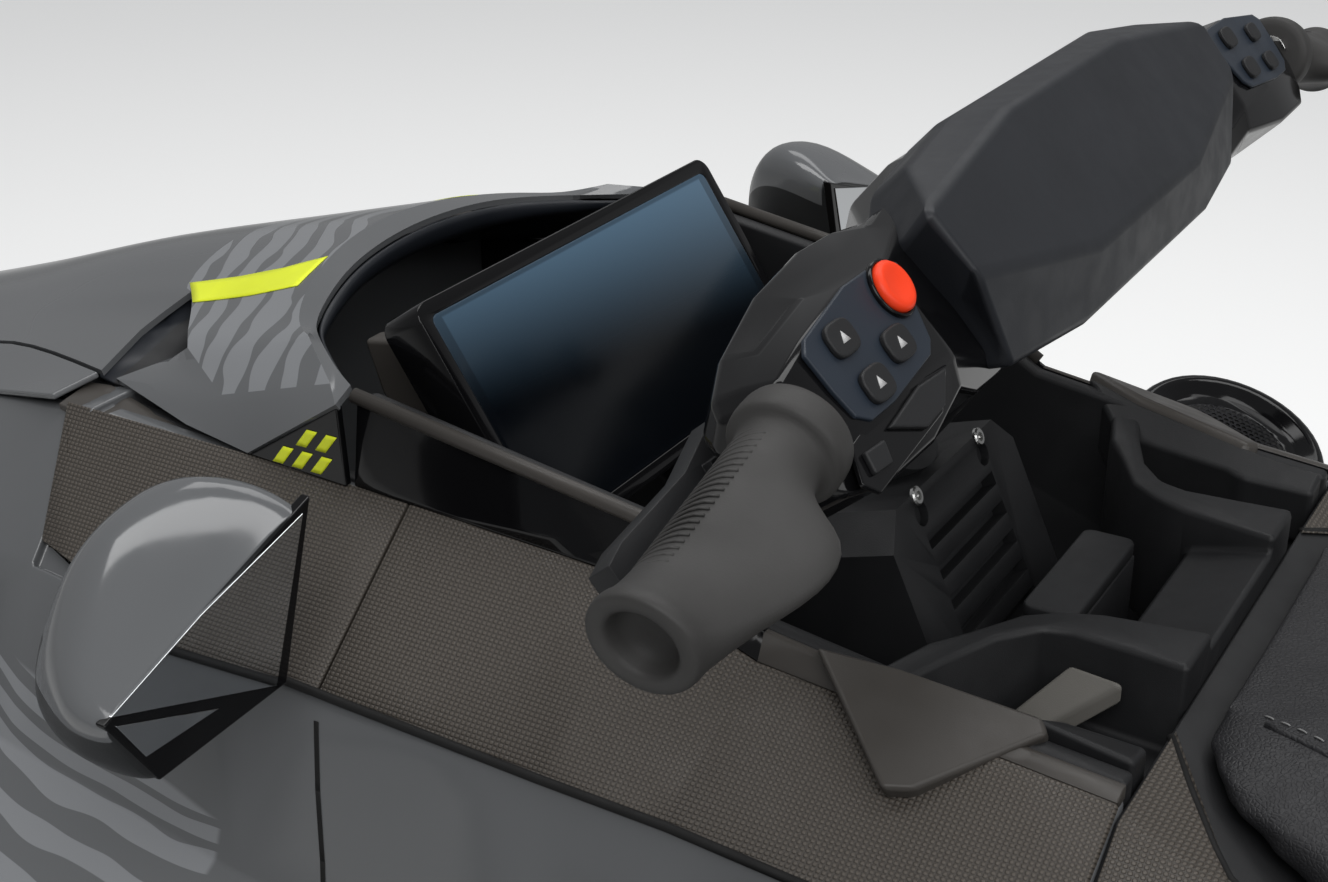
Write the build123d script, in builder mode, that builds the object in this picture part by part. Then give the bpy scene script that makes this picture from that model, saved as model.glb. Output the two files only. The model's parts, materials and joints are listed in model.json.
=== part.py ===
"""Personal watercraft: a three-seat runabout, afloat, in millimetres.

+X runs forward, +Y to port and +Z up. The origin is on the waterline at mid-length.
"""
from build123d import *
from collections import namedtuple
from math import atan2, cos, radians, sin
import os

# Fits and walls
FIT = 0.3  # gap between pieces that move past each other at rest
PIN_FIT = 0.08  # radial clearance of a pin in its bore
SHELL = 12  # wall of the deck mouldings
PANEL = 6  # wall of the side panels
LID_WALL = 10  # wall of the front lid
LID_FOOT = 13  # width of its foot

# Cockpit well
WELL_Y = 186  # half width of the well cut in the bow deck
WELL_Z = 470  # height of the well's seat
WELL_FRONT = 620  # front wall of the well
COCKPIT_X = 20  # where the bow deck meets the aft deck
LID_REAR = 446  # rear corners of the front lid
LIP = 4  # thickness of the lip beside the gloss trim

# Front lid and storage bin
LID_FRONT = 1480
BIN_REAR = 690
BIN_FRONT = 1180
BIN_RIM = 34  # ledge that the lid's edge rests on
RIM_HIGH = 300  # of the cut that shapes the lid's rear rim, from the well's seat

# Display
SCREEN_W = 310
SCREEN_H = 150
SCREEN_T = 28
BEZEL = 9
GLASS_T = 1.5
SCREEN_X = 386
SCREEN_Z = 674
SCREEN_TILT = 34  # degrees back from upright
SCREEN_R = 10
GLASS_R = 5
STAND_Y = 60

# Steering
BAR_X = 115  # middle of the pad's face
BAR_Z = 837
PAD_TILT = 48.6  # degrees of the pad's face from level
AXIS_TILT = 35  # degrees of the column from upright
PAD_DEPTH = 46
PAD_SKIRT = 16
PAD_BEVEL = 3
COWL_STEP = 6  # how far the cowl starts inside the pad's skirt
COWL_END = -4  # its outline at the column, against the pad's
COWL_PULL = 0.55  # its half width there, as a share of the pad's
COWL_DEPTH = 58
POD_IN = 200
POD_OUT = 328
POD_FACE = 14  # depth of the switch faces behind the pad's
POD_DEPTH = 70
BAR_R = 11
GRIP_R = 18.5
GRIP_END_R = 22.5
GRIP_DROOP = 15
GRIP_LONG = 112
GRIP_Y = -22  # grip centre below the pad's middle, in the pad's plane
GRIP_DEPTH = 25
LEVER_REACH = 56  # from the grip's centre to the lever
LEVER_T = 12
COLUMN_R = 26
COLUMN_X = 224  # where the column leaves its boss
COLUMN_Z = 657
COLUMN_LONG = 150
BOSS_WALL = 8
BOSS_LONG = 70
START_R = 11.5
KEY_T = 3
KEY_R = 4

# Drive
PUMP_Z = -82
PUMP_R = 90
FLANGE = 14  # the flange stands out from the barrel
FLANGE_T = 10
PUMP_BORE = 79
PUMP_FRONT = -1290
PUMP_REAR = -1530
TAIL_REAR = -1612
TAIL_R = 54
TAIL_BORE = 46
PIVOT_X = -1600
SHAFT_R = 12
BLADE_R = 73
BLADE_COUNT = 4
BLADE_PITCH = 38
BLADE_BACK = 95  # the blades' middle, behind the barrel's mouth
VANE_COUNT = 6
NOZZLE_R = 86
NOZZLE_WALL = 6
NOZZLE_EXIT_R = 58
NOZZLE_LONG = 90
BOSS_R = 12
BOSS_TOP = 98
PIN_R = 5
GATE_R = 135
GATE_WALL = 8
GATE_Y = 108
GATE_ARM = 6
GATE_FROM = 40  # degrees above straight aft, stowed
GATE_TO = 100
GATE_PIN_R = 6
GATE_PIN_END = 1  # past the gate's arm
GATE_EYE_R = 16
TUNNEL_Y = 150
TUNNEL_TOP = 75
DUCT_Y = 75
DUCT_FRONT = -650
DUCT_LOW = -300  # below the keel
TRANSOM = -1640

# Engine
ENGINE = (620, 360, 290)
ENGINE_X = -450
BAY_FLOOR = -120
BAY_HIGH = 400  # past the hull's top
BAY_GAP = 20

# Hull sections: the chine's outward step, and the strake as shares from keel to chine
CHINE_OUT = 0.2
CHINE_UP = 6
STRAKE_Y = 0.55
STRAKE_Z = 0.5

# Stern
PLATFORM_REAR = -1700
DECK_REAR = -1180
STEP_Y = 190
STEP_Z = -30
STEP_X = -1664
STEP_LONG = 225
STEP_R = 11
STEP_ROOT = 9  # the tube starts this far above its pivot
STEP_EYE_R = 16
STEP_EYE_W = 26  # width of the eye on each end of the step
BRACKET_T = 8
BRACKET_ROOT = 24  # half height at the transom
BRACKET_END = 10  # past the pivot, each way
EYE_R = 24
EYE_NECK = 38.4  # width of the bow eye's neck
EYE_OUT = 2  # gap between an eye's ring and what carries it
EYE_HOLE = 11
EYE_T = 12
MAT = 5

# Hull and fore body, from transom to stem. Heights and half widths at each station.
Station = namedtuple(
    "Station",
    "x keel_z chine_y chine_z rail_y rail_z shoulder_y shoulder_z crease_y crease_z low_y low_z up_y up_z",
)
BODY = [
    Station(TRANSOM, -235, 520, -80, 598, 238, 584, 262, 0, 0, 0, 0, 0, 0),
    Station(DECK_REAR, -258, 530, -79, 617, 250, 603, 274, 0, 0, 0, 0, 0, 0),
    Station(-600, -268, 538, -72, 627, 262, 613, 286, 0, 0, 0, 0, 0, 0),
    Station(COCKPIT_X, -265, 530, -52, 627, 270, 613, 292, 318, 425, 276, 552, 198, 596),
    Station(200, -264, 525, -38, 627, 273, 612, 297, 315, 450, 283, 573, 198, 614),
    Station(270, -262, 520, -32, 625, 276, 609, 300, 314, 456, 282, 574, 198, 640),
    Station(LID_REAR, -258, 505, -18, 618, 282, 600, 306, 310, 472, 278, 578, 197, 648),
    Station(WELL_FRONT, -246, 475, 5, 598, 293, 580, 316, 298, 486, 262, 582, 203, 654),
    Station(760, -232, 450, 22, 575, 305, 556, 328, 280, 492, 238, 565, 172, 622),
    Station(920, -205, 420, 45, 535, 318, 514, 341, 262, 485, 212, 535, 150, 575),
    Station(1200, -120, 330, 110, 420, 345, 400, 367, 212, 450, 168, 478, 114, 498),
    Station(LID_FRONT, 10, 190, 215, 275, 372, 258, 390, 140, 410, 108, 420, 72, 424),
    Station(1640, 190, 95, 310, 150, 388, 138, 399, 80, 405, 60, 409, 38, 411),
    Station(1700, 320, 45, 365, 70, 392, 64, 400, 42, 404, 30, 406, 18, 407),
]

# Aft deck. The footwell lies between the side and the pedestal under the seats.
Deck = namedtuple("Deck", "x inner_y inner_z out_y in_y floor_z waist_y waist_z top_y top_z")
AFT = [
    Deck(COCKPIT_X, 500, 322, 468, 262, 105, 260, 545, 200, 588),
    Deck(-200, 500, 318, 466, 250, 101, 232, 430, 195, 490),
    Deck(-600, 500, 312, 462, 240, 96, 206, 330, 190, 430),
    Deck(DECK_REAR, 496, 300, 460, 250, 100, 214, 330, 200, 430),
]

# Front lid, from its foot over the crease and the crest to the middle, and its rear rim from above.
Lid = namedtuple("Lid", "x foot_y crease_y crease_z crest_y crest_z middle_z")
LID = [
    Lid(LID_REAR, 197, 191, 696, 172, 701, 722),
    Lid(500, 198, 186, 684, 146, 702, 719),
    Lid(560, 196, 172, 666, 118, 694, 716),
    Lid(WELL_FRONT, 190, 152, 667, 104, 684, 706),
    Lid(700, 162, 132, 650, 92, 664, 686),
    Lid(760, 148, 122, 636, 84, 648, 669),
    Lid(920, 130, 108, 588, 78, 599, 613),
    Lid(1200, 104, 86, 508, 66, 518, 528),
    Lid(LID_FRONT, 68, 56, 432, 44, 440, 446),
]
LID_RIM = [(436, 196), (467, 173), (513, 134), (536, 76), (545, 20)]

# Seats: half widths at the bottom and top, and the top's height.
Seat = namedtuple("Seat", "x foot_y top_y top_z")
DRIVER = [
    Seat(15, 124, 98, 604),
    Seat(-10, 162, 118, 602),
    Seat(-70, 186, 134, 595),
    Seat(-200, 188, 146, 576),
    Seat(-400, 188, 160, 560),
    Seat(-560, 190, 164, 572),
]
PASSENGER = [
    Seat(-565, 190, 164, 590),
    Seat(-600, 190, 162, 618),
    Seat(-700, 190, 158, 640),
    Seat(-1000, 192, 156, 642),
    Seat(-1173, 184, 130, 624),
]


def across(x):
    """The plane across the craft at x, with its own axes along +Y and +Z."""
    return Plane((x, 0, 0), x_dir=(0, 1, 0), z_dir=(1, 0, 0))


def along(table, x):
    """The table's row at x, with every column interpolated."""
    for low, high in zip(table, table[1:]):
        if low.x <= x <= high.x or high.x <= x <= low.x:
            share = (x - low.x) / (high.x - low.x)
            return type(low)(*(a + share * (b - a) for a, b in zip(low, high)))
    raise ValueError(f"no station at {x}")


def between(table, rear, front):
    """Stations from rear to front: both ends and every row of the table between them."""
    inner = sorted(row.x for row in table if rear < row.x < front)
    return [along(table, x) for x in [rear, *inner, front]]


def mirrored(points):
    """The starboard side of a port outline, in reverse order."""
    return [(-y, z) for y, z in reversed(points) if y != 0]


def both_sides(points):
    """A port outline and its mirror image as one closed outline."""
    return [*points, *mirrored(points)]


def side_foot(s):
    """The foot of the hull's side, just outside and above the chine."""
    return (s.chine_y + CHINE_OUT * (s.rail_y - s.chine_y), s.chine_z + CHINE_UP)


def share_of_side(s, share):
    """A point on the hull's side, as a share of the way down from rail to foot."""
    foot_y, foot_z = side_foot(s)
    return (
        s.rail_y + share * (foot_y - s.rail_y),
        s.rail_z + share * (foot_z - s.rail_z),
    )


def save(part, name):
    """Label a finished piece and write it."""
    part.part.label = name
    export_step(part.part, f"parts/{name}.step")


os.makedirs("parts", exist_ok=True)
SLOPE = radians(51)  # the side panels' slope
PANEL_Y = PANEL * cos(SLOPE)
PANEL_Z = PANEL * sin(SLOPE)


def trough(d, s):
    """The footwell's pocket in the hull, port side, from pedestal to rail."""
    return [
        (d.in_y - 2.5 * SHELL, s.rail_z),
        (d.in_y - SHELL, d.floor_z - SHELL),
        (d.out_y + SHELL, d.floor_z - SHELL),
        (d.inner_y + SHELL, s.rail_z),
    ]


# Hull with its footwell pockets, engine bay, pump tunnel and intake duct
with BuildPart() as hull:
    for s in BODY:
        with BuildSketch(across(s.x)):
            with BuildLine():
                strake = (STRAKE_Y * s.chine_y, s.keel_z + STRAKE_Z * (s.chine_z - s.keel_z))
                chine = (s.chine_y, s.chine_z)
                outline = [(0, s.keel_z), strake, chine, side_foot(s), (s.rail_y, s.rail_z)]
                Polyline(*both_sides(outline), close=True)
            make_face()
    loft(ruled=True)
    for side in (1, -1):
        for d in between(AFT, DECK_REAR, COCKPIT_X):
            with BuildSketch(across(d.x)):
                with BuildLine():
                    Polyline(*[(side * y, z) for y, z in trough(d, along(BODY, d.x))], close=True)
                make_face()
        loft(ruled=True, mode=Mode.SUBTRACT)
    with BuildSketch(Plane.XY.offset(BAY_FLOOR)):
        with Locations((ENGINE_X, 0)):
            Rectangle(ENGINE[0] + 2 * BAY_GAP, ENGINE[1] + 2 * BAY_GAP)
    extrude(amount=BAY_HIGH, mode=Mode.SUBTRACT)
    with BuildSketch(across(TRANSOM)):
        with Locations((0, PUMP_Z)):
            Rectangle(2 * TUNNEL_Y, TUNNEL_TOP - PUMP_Z, align=(Align.CENTER, Align.MIN))
            Rectangle(2 * TUNNEL_Y, PUMP_Z - DUCT_LOW, align=(Align.CENTER, Align.MAX))
    extrude(amount=PUMP_FRONT - TRANSOM, mode=Mode.SUBTRACT)
    with BuildSketch(Plane.XZ.offset(-DUCT_Y)):
        with BuildLine():
            Polyline(
                (PUMP_FRONT, PUMP_Z + DUCT_Y),
                (DUCT_FRONT, DUCT_LOW),
                (PUMP_FRONT, DUCT_LOW),
                close=True,
            )
        make_face()
    extrude(amount=2 * DUCT_Y, mode=Mode.SUBTRACT)
save(hull, "hull")

# Engine, as one plain block on the bay's floor
with BuildPart() as engine:
    with BuildSketch(Plane.XY.offset(BAY_FLOOR)):
        with Locations((ENGINE_X, 0)):
            Rectangle(ENGINE[0], ENGINE[1])
    extrude(amount=ENGINE[2])
save(engine, "engine")

# Rub rail along both sides, under the seam
RAIL_OUT = 9
RAIL_BEVEL = 3
RAIL_SHARE = 0.1
with BuildPart() as bumper:
    for side in (1, -1):
        for s in between(BODY, TRANSOM, BODY[-2].x):
            low_y, low_z = share_of_side(s, RAIL_SHARE)
            with BuildSketch(across(s.x)):
                with BuildLine():
                    Polyline(
                        (side * s.rail_y, s.rail_z),
                        (side * (s.rail_y + RAIL_OUT), s.rail_z - RAIL_BEVEL),
                        (side * (low_y + RAIL_OUT), low_z + RAIL_BEVEL),
                        (side * low_y, low_z),
                        close=True,
                    )
                make_face()
        loft(ruled=True)
save(bumper, "bumper")

# Aft deck: sides, footwells and the pedestal under the seats
with BuildPart() as deck:
    for d in between(AFT, DECK_REAR, COCKPIT_X):
        s = along(BODY, d.x)
        top = [
            (s.rail_y, s.rail_z),
            (s.shoulder_y, s.shoulder_z),
            (d.inner_y, d.inner_z),
            (d.out_y, d.floor_z),
            (d.in_y, d.floor_z),
            (d.waist_y, d.waist_z),
            (d.top_y, d.top_z),
        ]
        under = trough(d, s)
        with BuildSketch(across(d.x)):
            with BuildLine():
                Polyline(*both_sides(top), *mirrored(under), *under, close=True)
            make_face()
    loft(ruled=True)
save(deck, "deck")

# Rear platform, a shallow tray that overhangs the transom
TRAY_LIP = 10  # the rim's rise
TRAY_RIM = 80  # the rim's width
TRAY_SLOPE = 20
TRAY_FLOOR = 14
TRAY_TUCK = 45  # how far the rear corners draw in
with BuildPart() as platform:
    rows = [(DECK_REAR, 0), (TRANSOM, 0), (PLATFORM_REAR, TRAY_TUCK)]
    for x, tuck in rows:
        s = along(BODY, max(x, TRANSOM))
        tray = [
            (s.rail_y - tuck, s.rail_z),
            (s.shoulder_y - tuck, s.shoulder_z),
            (s.shoulder_y - tuck - TRAY_RIM, s.shoulder_z + TRAY_LIP),
            (s.shoulder_y - tuck - TRAY_RIM - TRAY_SLOPE, s.rail_z + TRAY_FLOOR),
        ]
        with BuildSketch(across(x)):
            with BuildLine():
                Polyline(*both_sides(tray), close=True)
            make_face()
    loft(ruled=True)
save(platform, "platform")

# Bow deck: side bodies, cockpit well and storage bin
with BuildPart() as bow_deck:
    for s in between(BODY, COCKPIT_X, WELL_FRONT):
        side_body = [
            (s.rail_y, s.rail_z),
            (s.shoulder_y, s.shoulder_z),
            (s.crease_y, s.crease_z),
            (s.low_y, s.low_z),
            (s.low_y - PANEL_Y, s.low_z - PANEL_Z),
            (s.up_y - PANEL_Y, s.up_z - PANEL_Z),
            (WELL_Y, s.up_z - PANEL_Z),
            (WELL_Y, WELL_Z),
        ]
        with BuildSketch(across(s.x)):
            with BuildLine():
                Polyline(*both_sides(side_body), close=True)
            make_face()
    loft(ruled=True)
    for s in between(BODY, WELL_FRONT, BODY[-1].x):
        fore_body = [
            (s.rail_y, s.rail_z),
            (s.shoulder_y, s.shoulder_z),
            (s.crease_y, s.crease_z),
            (s.low_y, s.low_z),
            (s.up_y, s.up_z),
        ]
        with BuildSketch(across(s.x)):
            with BuildLine():
                Polyline(*both_sides(fore_body), close=True)
            make_face()
    loft(ruled=True)
    for s in between(BODY, BIN_REAR, BIN_FRONT):
        with BuildSketch(across(s.x)):
            with BuildLine():
                mouth = [(s.up_y - BIN_RIM, s.up_z + BIN_RIM), (s.up_y - BIN_RIM, s.rail_z)]
                Polyline(*both_sides(mouth), close=True)
            make_face()
    loft(ruled=True, mode=Mode.SUBTRACT)
save(bow_deck, "bow_deck")

# Nose trim that caps the stem
CAP_LONG = 25
CAP_SHARE = 0.62  # its tip against its root
CAP_FOOT = 30
with BuildPart() as nose_trim:
    for x, share in ((BODY[-1].x, 1.0), (BODY[-1].x + CAP_LONG, CAP_SHARE)):
        s = BODY[-1]
        cap = [
            (0, s.keel_z + CAP_FOOT),
            (s.chine_y * share, s.chine_z),
            (s.rail_y * share, s.rail_z),
            (s.shoulder_y * share, s.shoulder_z),
            (s.up_y * share, s.up_z),
        ]
        with BuildSketch(across(x)):
            with BuildLine():
                Polyline(*both_sides(cap), close=True)
            make_face()
    loft(ruled=True)
save(nose_trim, "nose_trim")

# Textured side panels, in two lengths a side, either side of the mirror
PANEL_SPLIT = 404
PANEL_JOINT = 1
with BuildPart() as textured_panels:
    for side in (1, -1):
        for rear, front in ((COCKPIT_X, PANEL_SPLIT), (PANEL_SPLIT + PANEL_JOINT, WELL_FRONT)):
            for s in between(BODY, rear, front):
                with BuildSketch(across(s.x)):
                    with BuildLine():
                        Polyline(
                            (side * s.low_y, s.low_z),
                            (side * s.up_y, s.up_z),
                            (side * (s.up_y - PANEL_Y), s.up_z - PANEL_Z),
                            (side * (s.low_y - PANEL_Y), s.low_z - PANEL_Z),
                            close=True,
                        )
                    make_face()
            loft(ruled=True)
save(textured_panels, "textured_panels")

# Cockpit lip heights, aft to front
Lip = namedtuple("Lip", "x z")
LIPS = [
    Lip(COCKPIT_X, 599),
    Lip(64, 603),
    Lip(130, 616),
    Lip(200, 626),
    Lip(270, 667),
    Lip(LID_REAR - 6, 694),
]

# Gloss trims between the side panels and the cockpit lip
with BuildPart() as gloss_trims:
    for side in (1, -1):
        for lip in LIPS:
            s = along(BODY, lip.x)
            with BuildSketch(across(lip.x)):
                with BuildLine():
                    Polyline(
                        (side * s.up_y, s.up_z),
                        (side * (WELL_Y + LIP), lip.z),
                        (side * WELL_Y, lip.z),
                        (side * WELL_Y, s.up_z - PANEL_Z),
                        (side * (s.up_y - PANEL_Y), s.up_z - PANEL_Z),
                        close=True,
                    )
                make_face()
        loft(ruled=True)
save(gloss_trims, "gloss_trims")

# Console: the open channel of the cockpit, with a low part under the lid
with BuildPart() as console:
    for lip in LIPS:
        wall = WELL_Y - SHELL
        channel = [(WELL_Y, WELL_Z), (WELL_Y, lip.z), (wall, lip.z), (wall, WELL_Z + SHELL)]
        with BuildSketch(across(lip.x)):
            with BuildLine():
                Polyline(*both_sides(channel), close=True)
            make_face()
    loft(ruled=True)
    for s in between(BODY, LID_REAR - 6, WELL_FRONT):
        rim = s.up_z - PANEL_Z
        channel = [(WELL_Y, WELL_Z), (WELL_Y, rim), (WELL_Y - SHELL, rim), (WELL_Y - SHELL, WELL_Z + SHELL)]
        with BuildSketch(across(s.x)):
            with BuildLine():
                Polyline(*both_sides(channel), close=True)
            make_face()
    loft(ruled=True)
save(console, "console")
FLOOR_Z = WELL_Z + SHELL

# Column cover with its louvres, screw wells and the boss that carries the column
COVER_Y = 84
COVER_TOP_X = 188
COVER_TOP_Z = 640
COVER_FOOT_X = 124
COVER_TOE = 20  # the face starts this far above the floor
COVER_RIDGE = 65  # the cover's flat top, fore and aft
COVER_RIDGE_DROP = 20
COVER_BACK = 85  # its foot's front edge, ahead of the face's top
COVER_CHAMFER = 18
LOUVRES = 5
LOUVRE_W = 92
LOUVRE_H = 8
LOUVRE_PITCH = 18
LOUVRE_DEEP = 9
LOUVRE_TOP = 48  # the highest louvre, above the face's middle
SCREW_Y = 43
SCREW_UP = 64
SCREW_WELL_R = 7
SCREW_WELL_DEEP = 5
COVER_SLOPE = atan2(COVER_TOP_Z - (FLOOR_Z + COVER_TOE), COVER_TOP_X - COVER_FOOT_X)
face_mid = ((COVER_TOP_X + COVER_FOOT_X) / 2, 0, (COVER_TOP_Z + FLOOR_Z + COVER_TOE) / 2)
cover_face = Plane(face_mid, x_dir=(0, 1, 0), z_dir=(sin(COVER_SLOPE), 0, -cos(COVER_SLOPE)))
bar_plane = Plane(
    (BAR_X, 0, BAR_Z),
    x_dir=(0, 1, 0),
    z_dir=(sin(radians(PAD_TILT)), 0, -cos(radians(PAD_TILT))),
)
axis_dir = Vector(-sin(radians(AXIS_TILT)), 0, cos(radians(AXIS_TILT)))
HEAD_DEPTH = PAD_DEPTH + COWL_DEPTH  # depth of the steering head behind the pad's face
column_foot = Vector(COLUMN_X, 0, COLUMN_Z)
with BuildPart() as column_cover:
    with BuildSketch(Plane.XZ.offset(-COVER_Y)):
        with BuildLine():
            Polyline(
                (COVER_FOOT_X, FLOOR_Z),
                (COVER_FOOT_X, FLOOR_Z + COVER_TOE),
                (COVER_TOP_X, COVER_TOP_Z),
                (COVER_TOP_X + COVER_RIDGE, COVER_TOP_Z - COVER_RIDGE_DROP),
                (COVER_TOP_X + COVER_BACK, FLOOR_Z),
                close=True,
            )
        make_face()
    extrude(amount=2 * COVER_Y)
    chamfer(column_cover.faces().sort_by(Axis.Z)[-1].edges().group_by(Axis.Y)[0], COVER_CHAMFER)
    chamfer(column_cover.faces().sort_by(Axis.Z)[-1].edges().group_by(Axis.Y)[-1], COVER_CHAMFER)
    for row in range(LOUVRES):
        with BuildSketch(cover_face):
            with Locations((0, LOUVRE_TOP - row * LOUVRE_PITCH)):
                Rectangle(LOUVRE_W, LOUVRE_H)
        extrude(amount=LOUVRE_DEEP, both=True, mode=Mode.SUBTRACT)
    with BuildSketch(cover_face):
        with Locations((SCREW_Y, SCREW_UP), (-SCREW_Y, SCREW_UP)):
            Circle(SCREW_WELL_R)
    extrude(amount=SCREW_WELL_DEEP, both=True, mode=Mode.SUBTRACT)
    with BuildSketch(Plane(column_foot, z_dir=-axis_dir)):
        Circle(COLUMN_R + BOSS_WALL)
    extrude(amount=BOSS_LONG)
save(column_cover, "column_cover")

# Arms of the console that close the cockpit in front of the seat
ARM_TOP = 612
ARM_DEEP = 80
POCKET_DEEP = 50  # the handholds outside the arms
RAMP_Y = 70  # half width, into both arms
RAMP_FRONT = 68
RAMP_Z = 588
RAMP_TOP = 603
arm_inside = [(COCKPIT_X, 57), (72, 66), (92, 74), (108, 87), (125, 116), (138, 136), (150, WELL_Y - SHELL)]
arm_outside = [(132, WELL_Y - SHELL), (124, 148), (110, 115), (94, 96), (79, 92), (51, 94), (COCKPIT_X, 97)]
with BuildPart() as console_arms:
    for side in (1, -1):
        with BuildSketch(Plane.XY.offset(ARM_TOP - ARM_DEEP)):
            with BuildLine():
                Polyline(*[(x, side * y) for x, y in [*arm_inside, *arm_outside]], close=True)
            make_face()
        extrude(amount=ARM_DEEP)
        with BuildSketch(Plane.XY.offset(ARM_TOP - ARM_DEEP)):
            with BuildLine():
                pocket = [*arm_outside, (COCKPIT_X, WELL_Y - SHELL)]
                Polyline(*[(x, side * y) for x, y in pocket], close=True)
            make_face()
        extrude(amount=ARM_DEEP - POCKET_DEEP)
    with BuildSketch(Plane.XZ.offset(-RAMP_Y)):
        with BuildLine():
            Polyline(
                (COCKPIT_X, ARM_TOP - ARM_DEEP),
                (COCKPIT_X, RAMP_TOP),
                (RAMP_FRONT, RAMP_Z),
                (RAMP_FRONT, ARM_TOP - ARM_DEEP),
                close=True,
            )
        make_face()
    extrude(amount=2 * RAMP_Y)
save(console_arms, "console_arms")

# Glove box body in front of the seat, and its lid
BOX_Y = 50
BOX_REAR = 92
BOX_FRONT = 122
BOX_TOP = 586
BOX_WALL = 5
BOX_LID_T = 9
BOX_LID_R = 6
with BuildPart() as glovebox:
    with BuildSketch(Plane.XY.offset(FLOOR_Z)):
        with Locations(((BOX_REAR + BOX_FRONT) / 2, 0)):
            Rectangle(BOX_FRONT - BOX_REAR, 2 * BOX_Y)
    extrude(amount=BOX_TOP - FLOOR_Z)
    with BuildSketch(Plane.XY.offset(FLOOR_Z + BOX_WALL)):
        with Locations(((BOX_REAR + BOX_FRONT) / 2, 0)):
            Rectangle(BOX_FRONT - BOX_REAR - 2 * BOX_WALL, 2 * (BOX_Y - BOX_WALL))
    extrude(amount=BOX_TOP, mode=Mode.SUBTRACT)
save(glovebox, "glovebox")

with BuildPart() as glovebox_lid:
    with BuildSketch(Plane.XY.offset(BOX_TOP + FIT)):
        with Locations(((BOX_REAR + BOX_FRONT) / 2, 0)):
            RectangleRounded(BOX_FRONT - BOX_REAR, 2 * BOX_Y, BOX_LID_R)
    extrude(amount=BOX_LID_T)
save(glovebox_lid, "glovebox_lid")

# Display: case with a stand, and its glass
screen_plane = Plane(
    (SCREEN_X, 0, SCREEN_Z),
    x_dir=(0, 1, 0),
    z_dir=(cos(radians(SCREEN_TILT)), 0, -sin(radians(SCREEN_TILT))),
)
# The stand's side view, ahead of and below the screen's middle
stand_side = [(-4, 30), (40, 10), (74, SCREEN_Z - FLOOR_Z), (20, SCREEN_Z - FLOOR_Z)]
with BuildPart() as display_case:
    with BuildSketch(screen_plane):
        RectangleRounded(SCREEN_W, SCREEN_H, SCREEN_R)
    extrude(amount=SCREEN_T)
    with BuildSketch(screen_plane):
        RectangleRounded(SCREEN_W - 2 * BEZEL, SCREEN_H - 2 * BEZEL, GLASS_R)
    extrude(amount=GLASS_T, mode=Mode.SUBTRACT)
    with BuildSketch(Plane.XZ.offset(-STAND_Y)):
        with BuildLine():
            Polyline(*[(SCREEN_X + ahead, SCREEN_Z - down) for ahead, down in stand_side], close=True)
        make_face()
    extrude(amount=2 * STAND_Y)
save(display_case, "display_case")

with BuildPart() as display_screen:
    with BuildSketch(screen_plane):
        RectangleRounded(SCREEN_W - 2 * BEZEL, SCREEN_H - 2 * BEZEL, GLASS_R)
    extrude(amount=GLASS_T)
save(display_screen, "display_screen")

# Mirrors: a tapered housing open to the rear, on a foot, and its glass
Mirror = namedtuple(
    "Mirror",
    "x in_top_y in_top_z in_low_y in_low_z out_low_y out_low_z out_top_y out_top_z brow_y brow_z",
)
MIRROR = [
    Mirror(395, 283, 690, 312, 601, 400, 596, 427, 641, 356, 668),
    Mirror(440, 298, 700, 318, 598, 396, 596, 406, 646, 360, 696),
    Mirror(470, 312, 685, 326, 600, 382, 598, 385, 637, 350, 675),
    Mirror(496, 326, 650, 334, 606, 362, 602, 363, 627, 347, 648),
]
MIRROR_DEEP = 26
MIRROR_WALL = 0.88  # size of the opening against the housing's outline
MIRROR_GLASS = 4


def mirror_outline(row, side, share=1.0):
    """The housing's corners at one station, drawn in towards the middle by share."""
    corners = [
        (row.in_top_y, row.in_top_z),
        (row.in_low_y, row.in_low_z),
        (row.out_low_y, row.out_low_z),
        (row.out_top_y, row.out_top_z),
        (row.brow_y, row.brow_z),
    ]
    mid_y = sum(y for y, z in corners) / len(corners)
    mid_z = sum(z for y, z in corners) / len(corners)
    return [(side * (mid_y + share * (y - mid_y)), mid_z + share * (z - mid_z)) for y, z in corners]


FOOT_X = 420
FOOT_LONG = 60
with BuildPart() as mirror_housings:
    for side in (1, -1):
        for row in MIRROR:
            with BuildSketch(across(row.x)):
                with BuildLine():
                    Polyline(*mirror_outline(row, side), close=True)
                make_face()
        loft(ruled=True)
        s = along(BODY, FOOT_X)
        with BuildSketch(across(FOOT_X)):
            with BuildLine():
                Polyline(
                    (side * (s.low_y - 26), s.low_z + 21),
                    (side * (s.low_y + 4), s.low_z + 2),
                    (side * (s.low_y + 50), s.low_z + 16),
                    (side * (s.low_y + 36), s.low_z + 46),
                    close=True,
                )
            make_face()
        extrude(amount=FOOT_LONG)
        with BuildSketch(across(MIRROR[0].x)):
            with BuildLine():
                Polyline(*mirror_outline(MIRROR[0], side, MIRROR_WALL), close=True)
            make_face()
        extrude(amount=MIRROR_DEEP, mode=Mode.SUBTRACT)
    add(textured_panels.part, mode=Mode.SUBTRACT)
    add(bow_deck.part, mode=Mode.SUBTRACT)
save(mirror_housings, "mirror_housings")

with BuildPart() as mirror_glasses:
    for side in (1, -1):
        with BuildSketch(across(MIRROR[0].x + MIRROR_DEEP - MIRROR_GLASS)):
            with BuildLine():
                Polyline(*mirror_outline(MIRROR[0], side, MIRROR_WALL), close=True)
            make_face()
        extrude(amount=MIRROR_GLASS)
save(mirror_glasses, "mirror_glasses")

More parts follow.
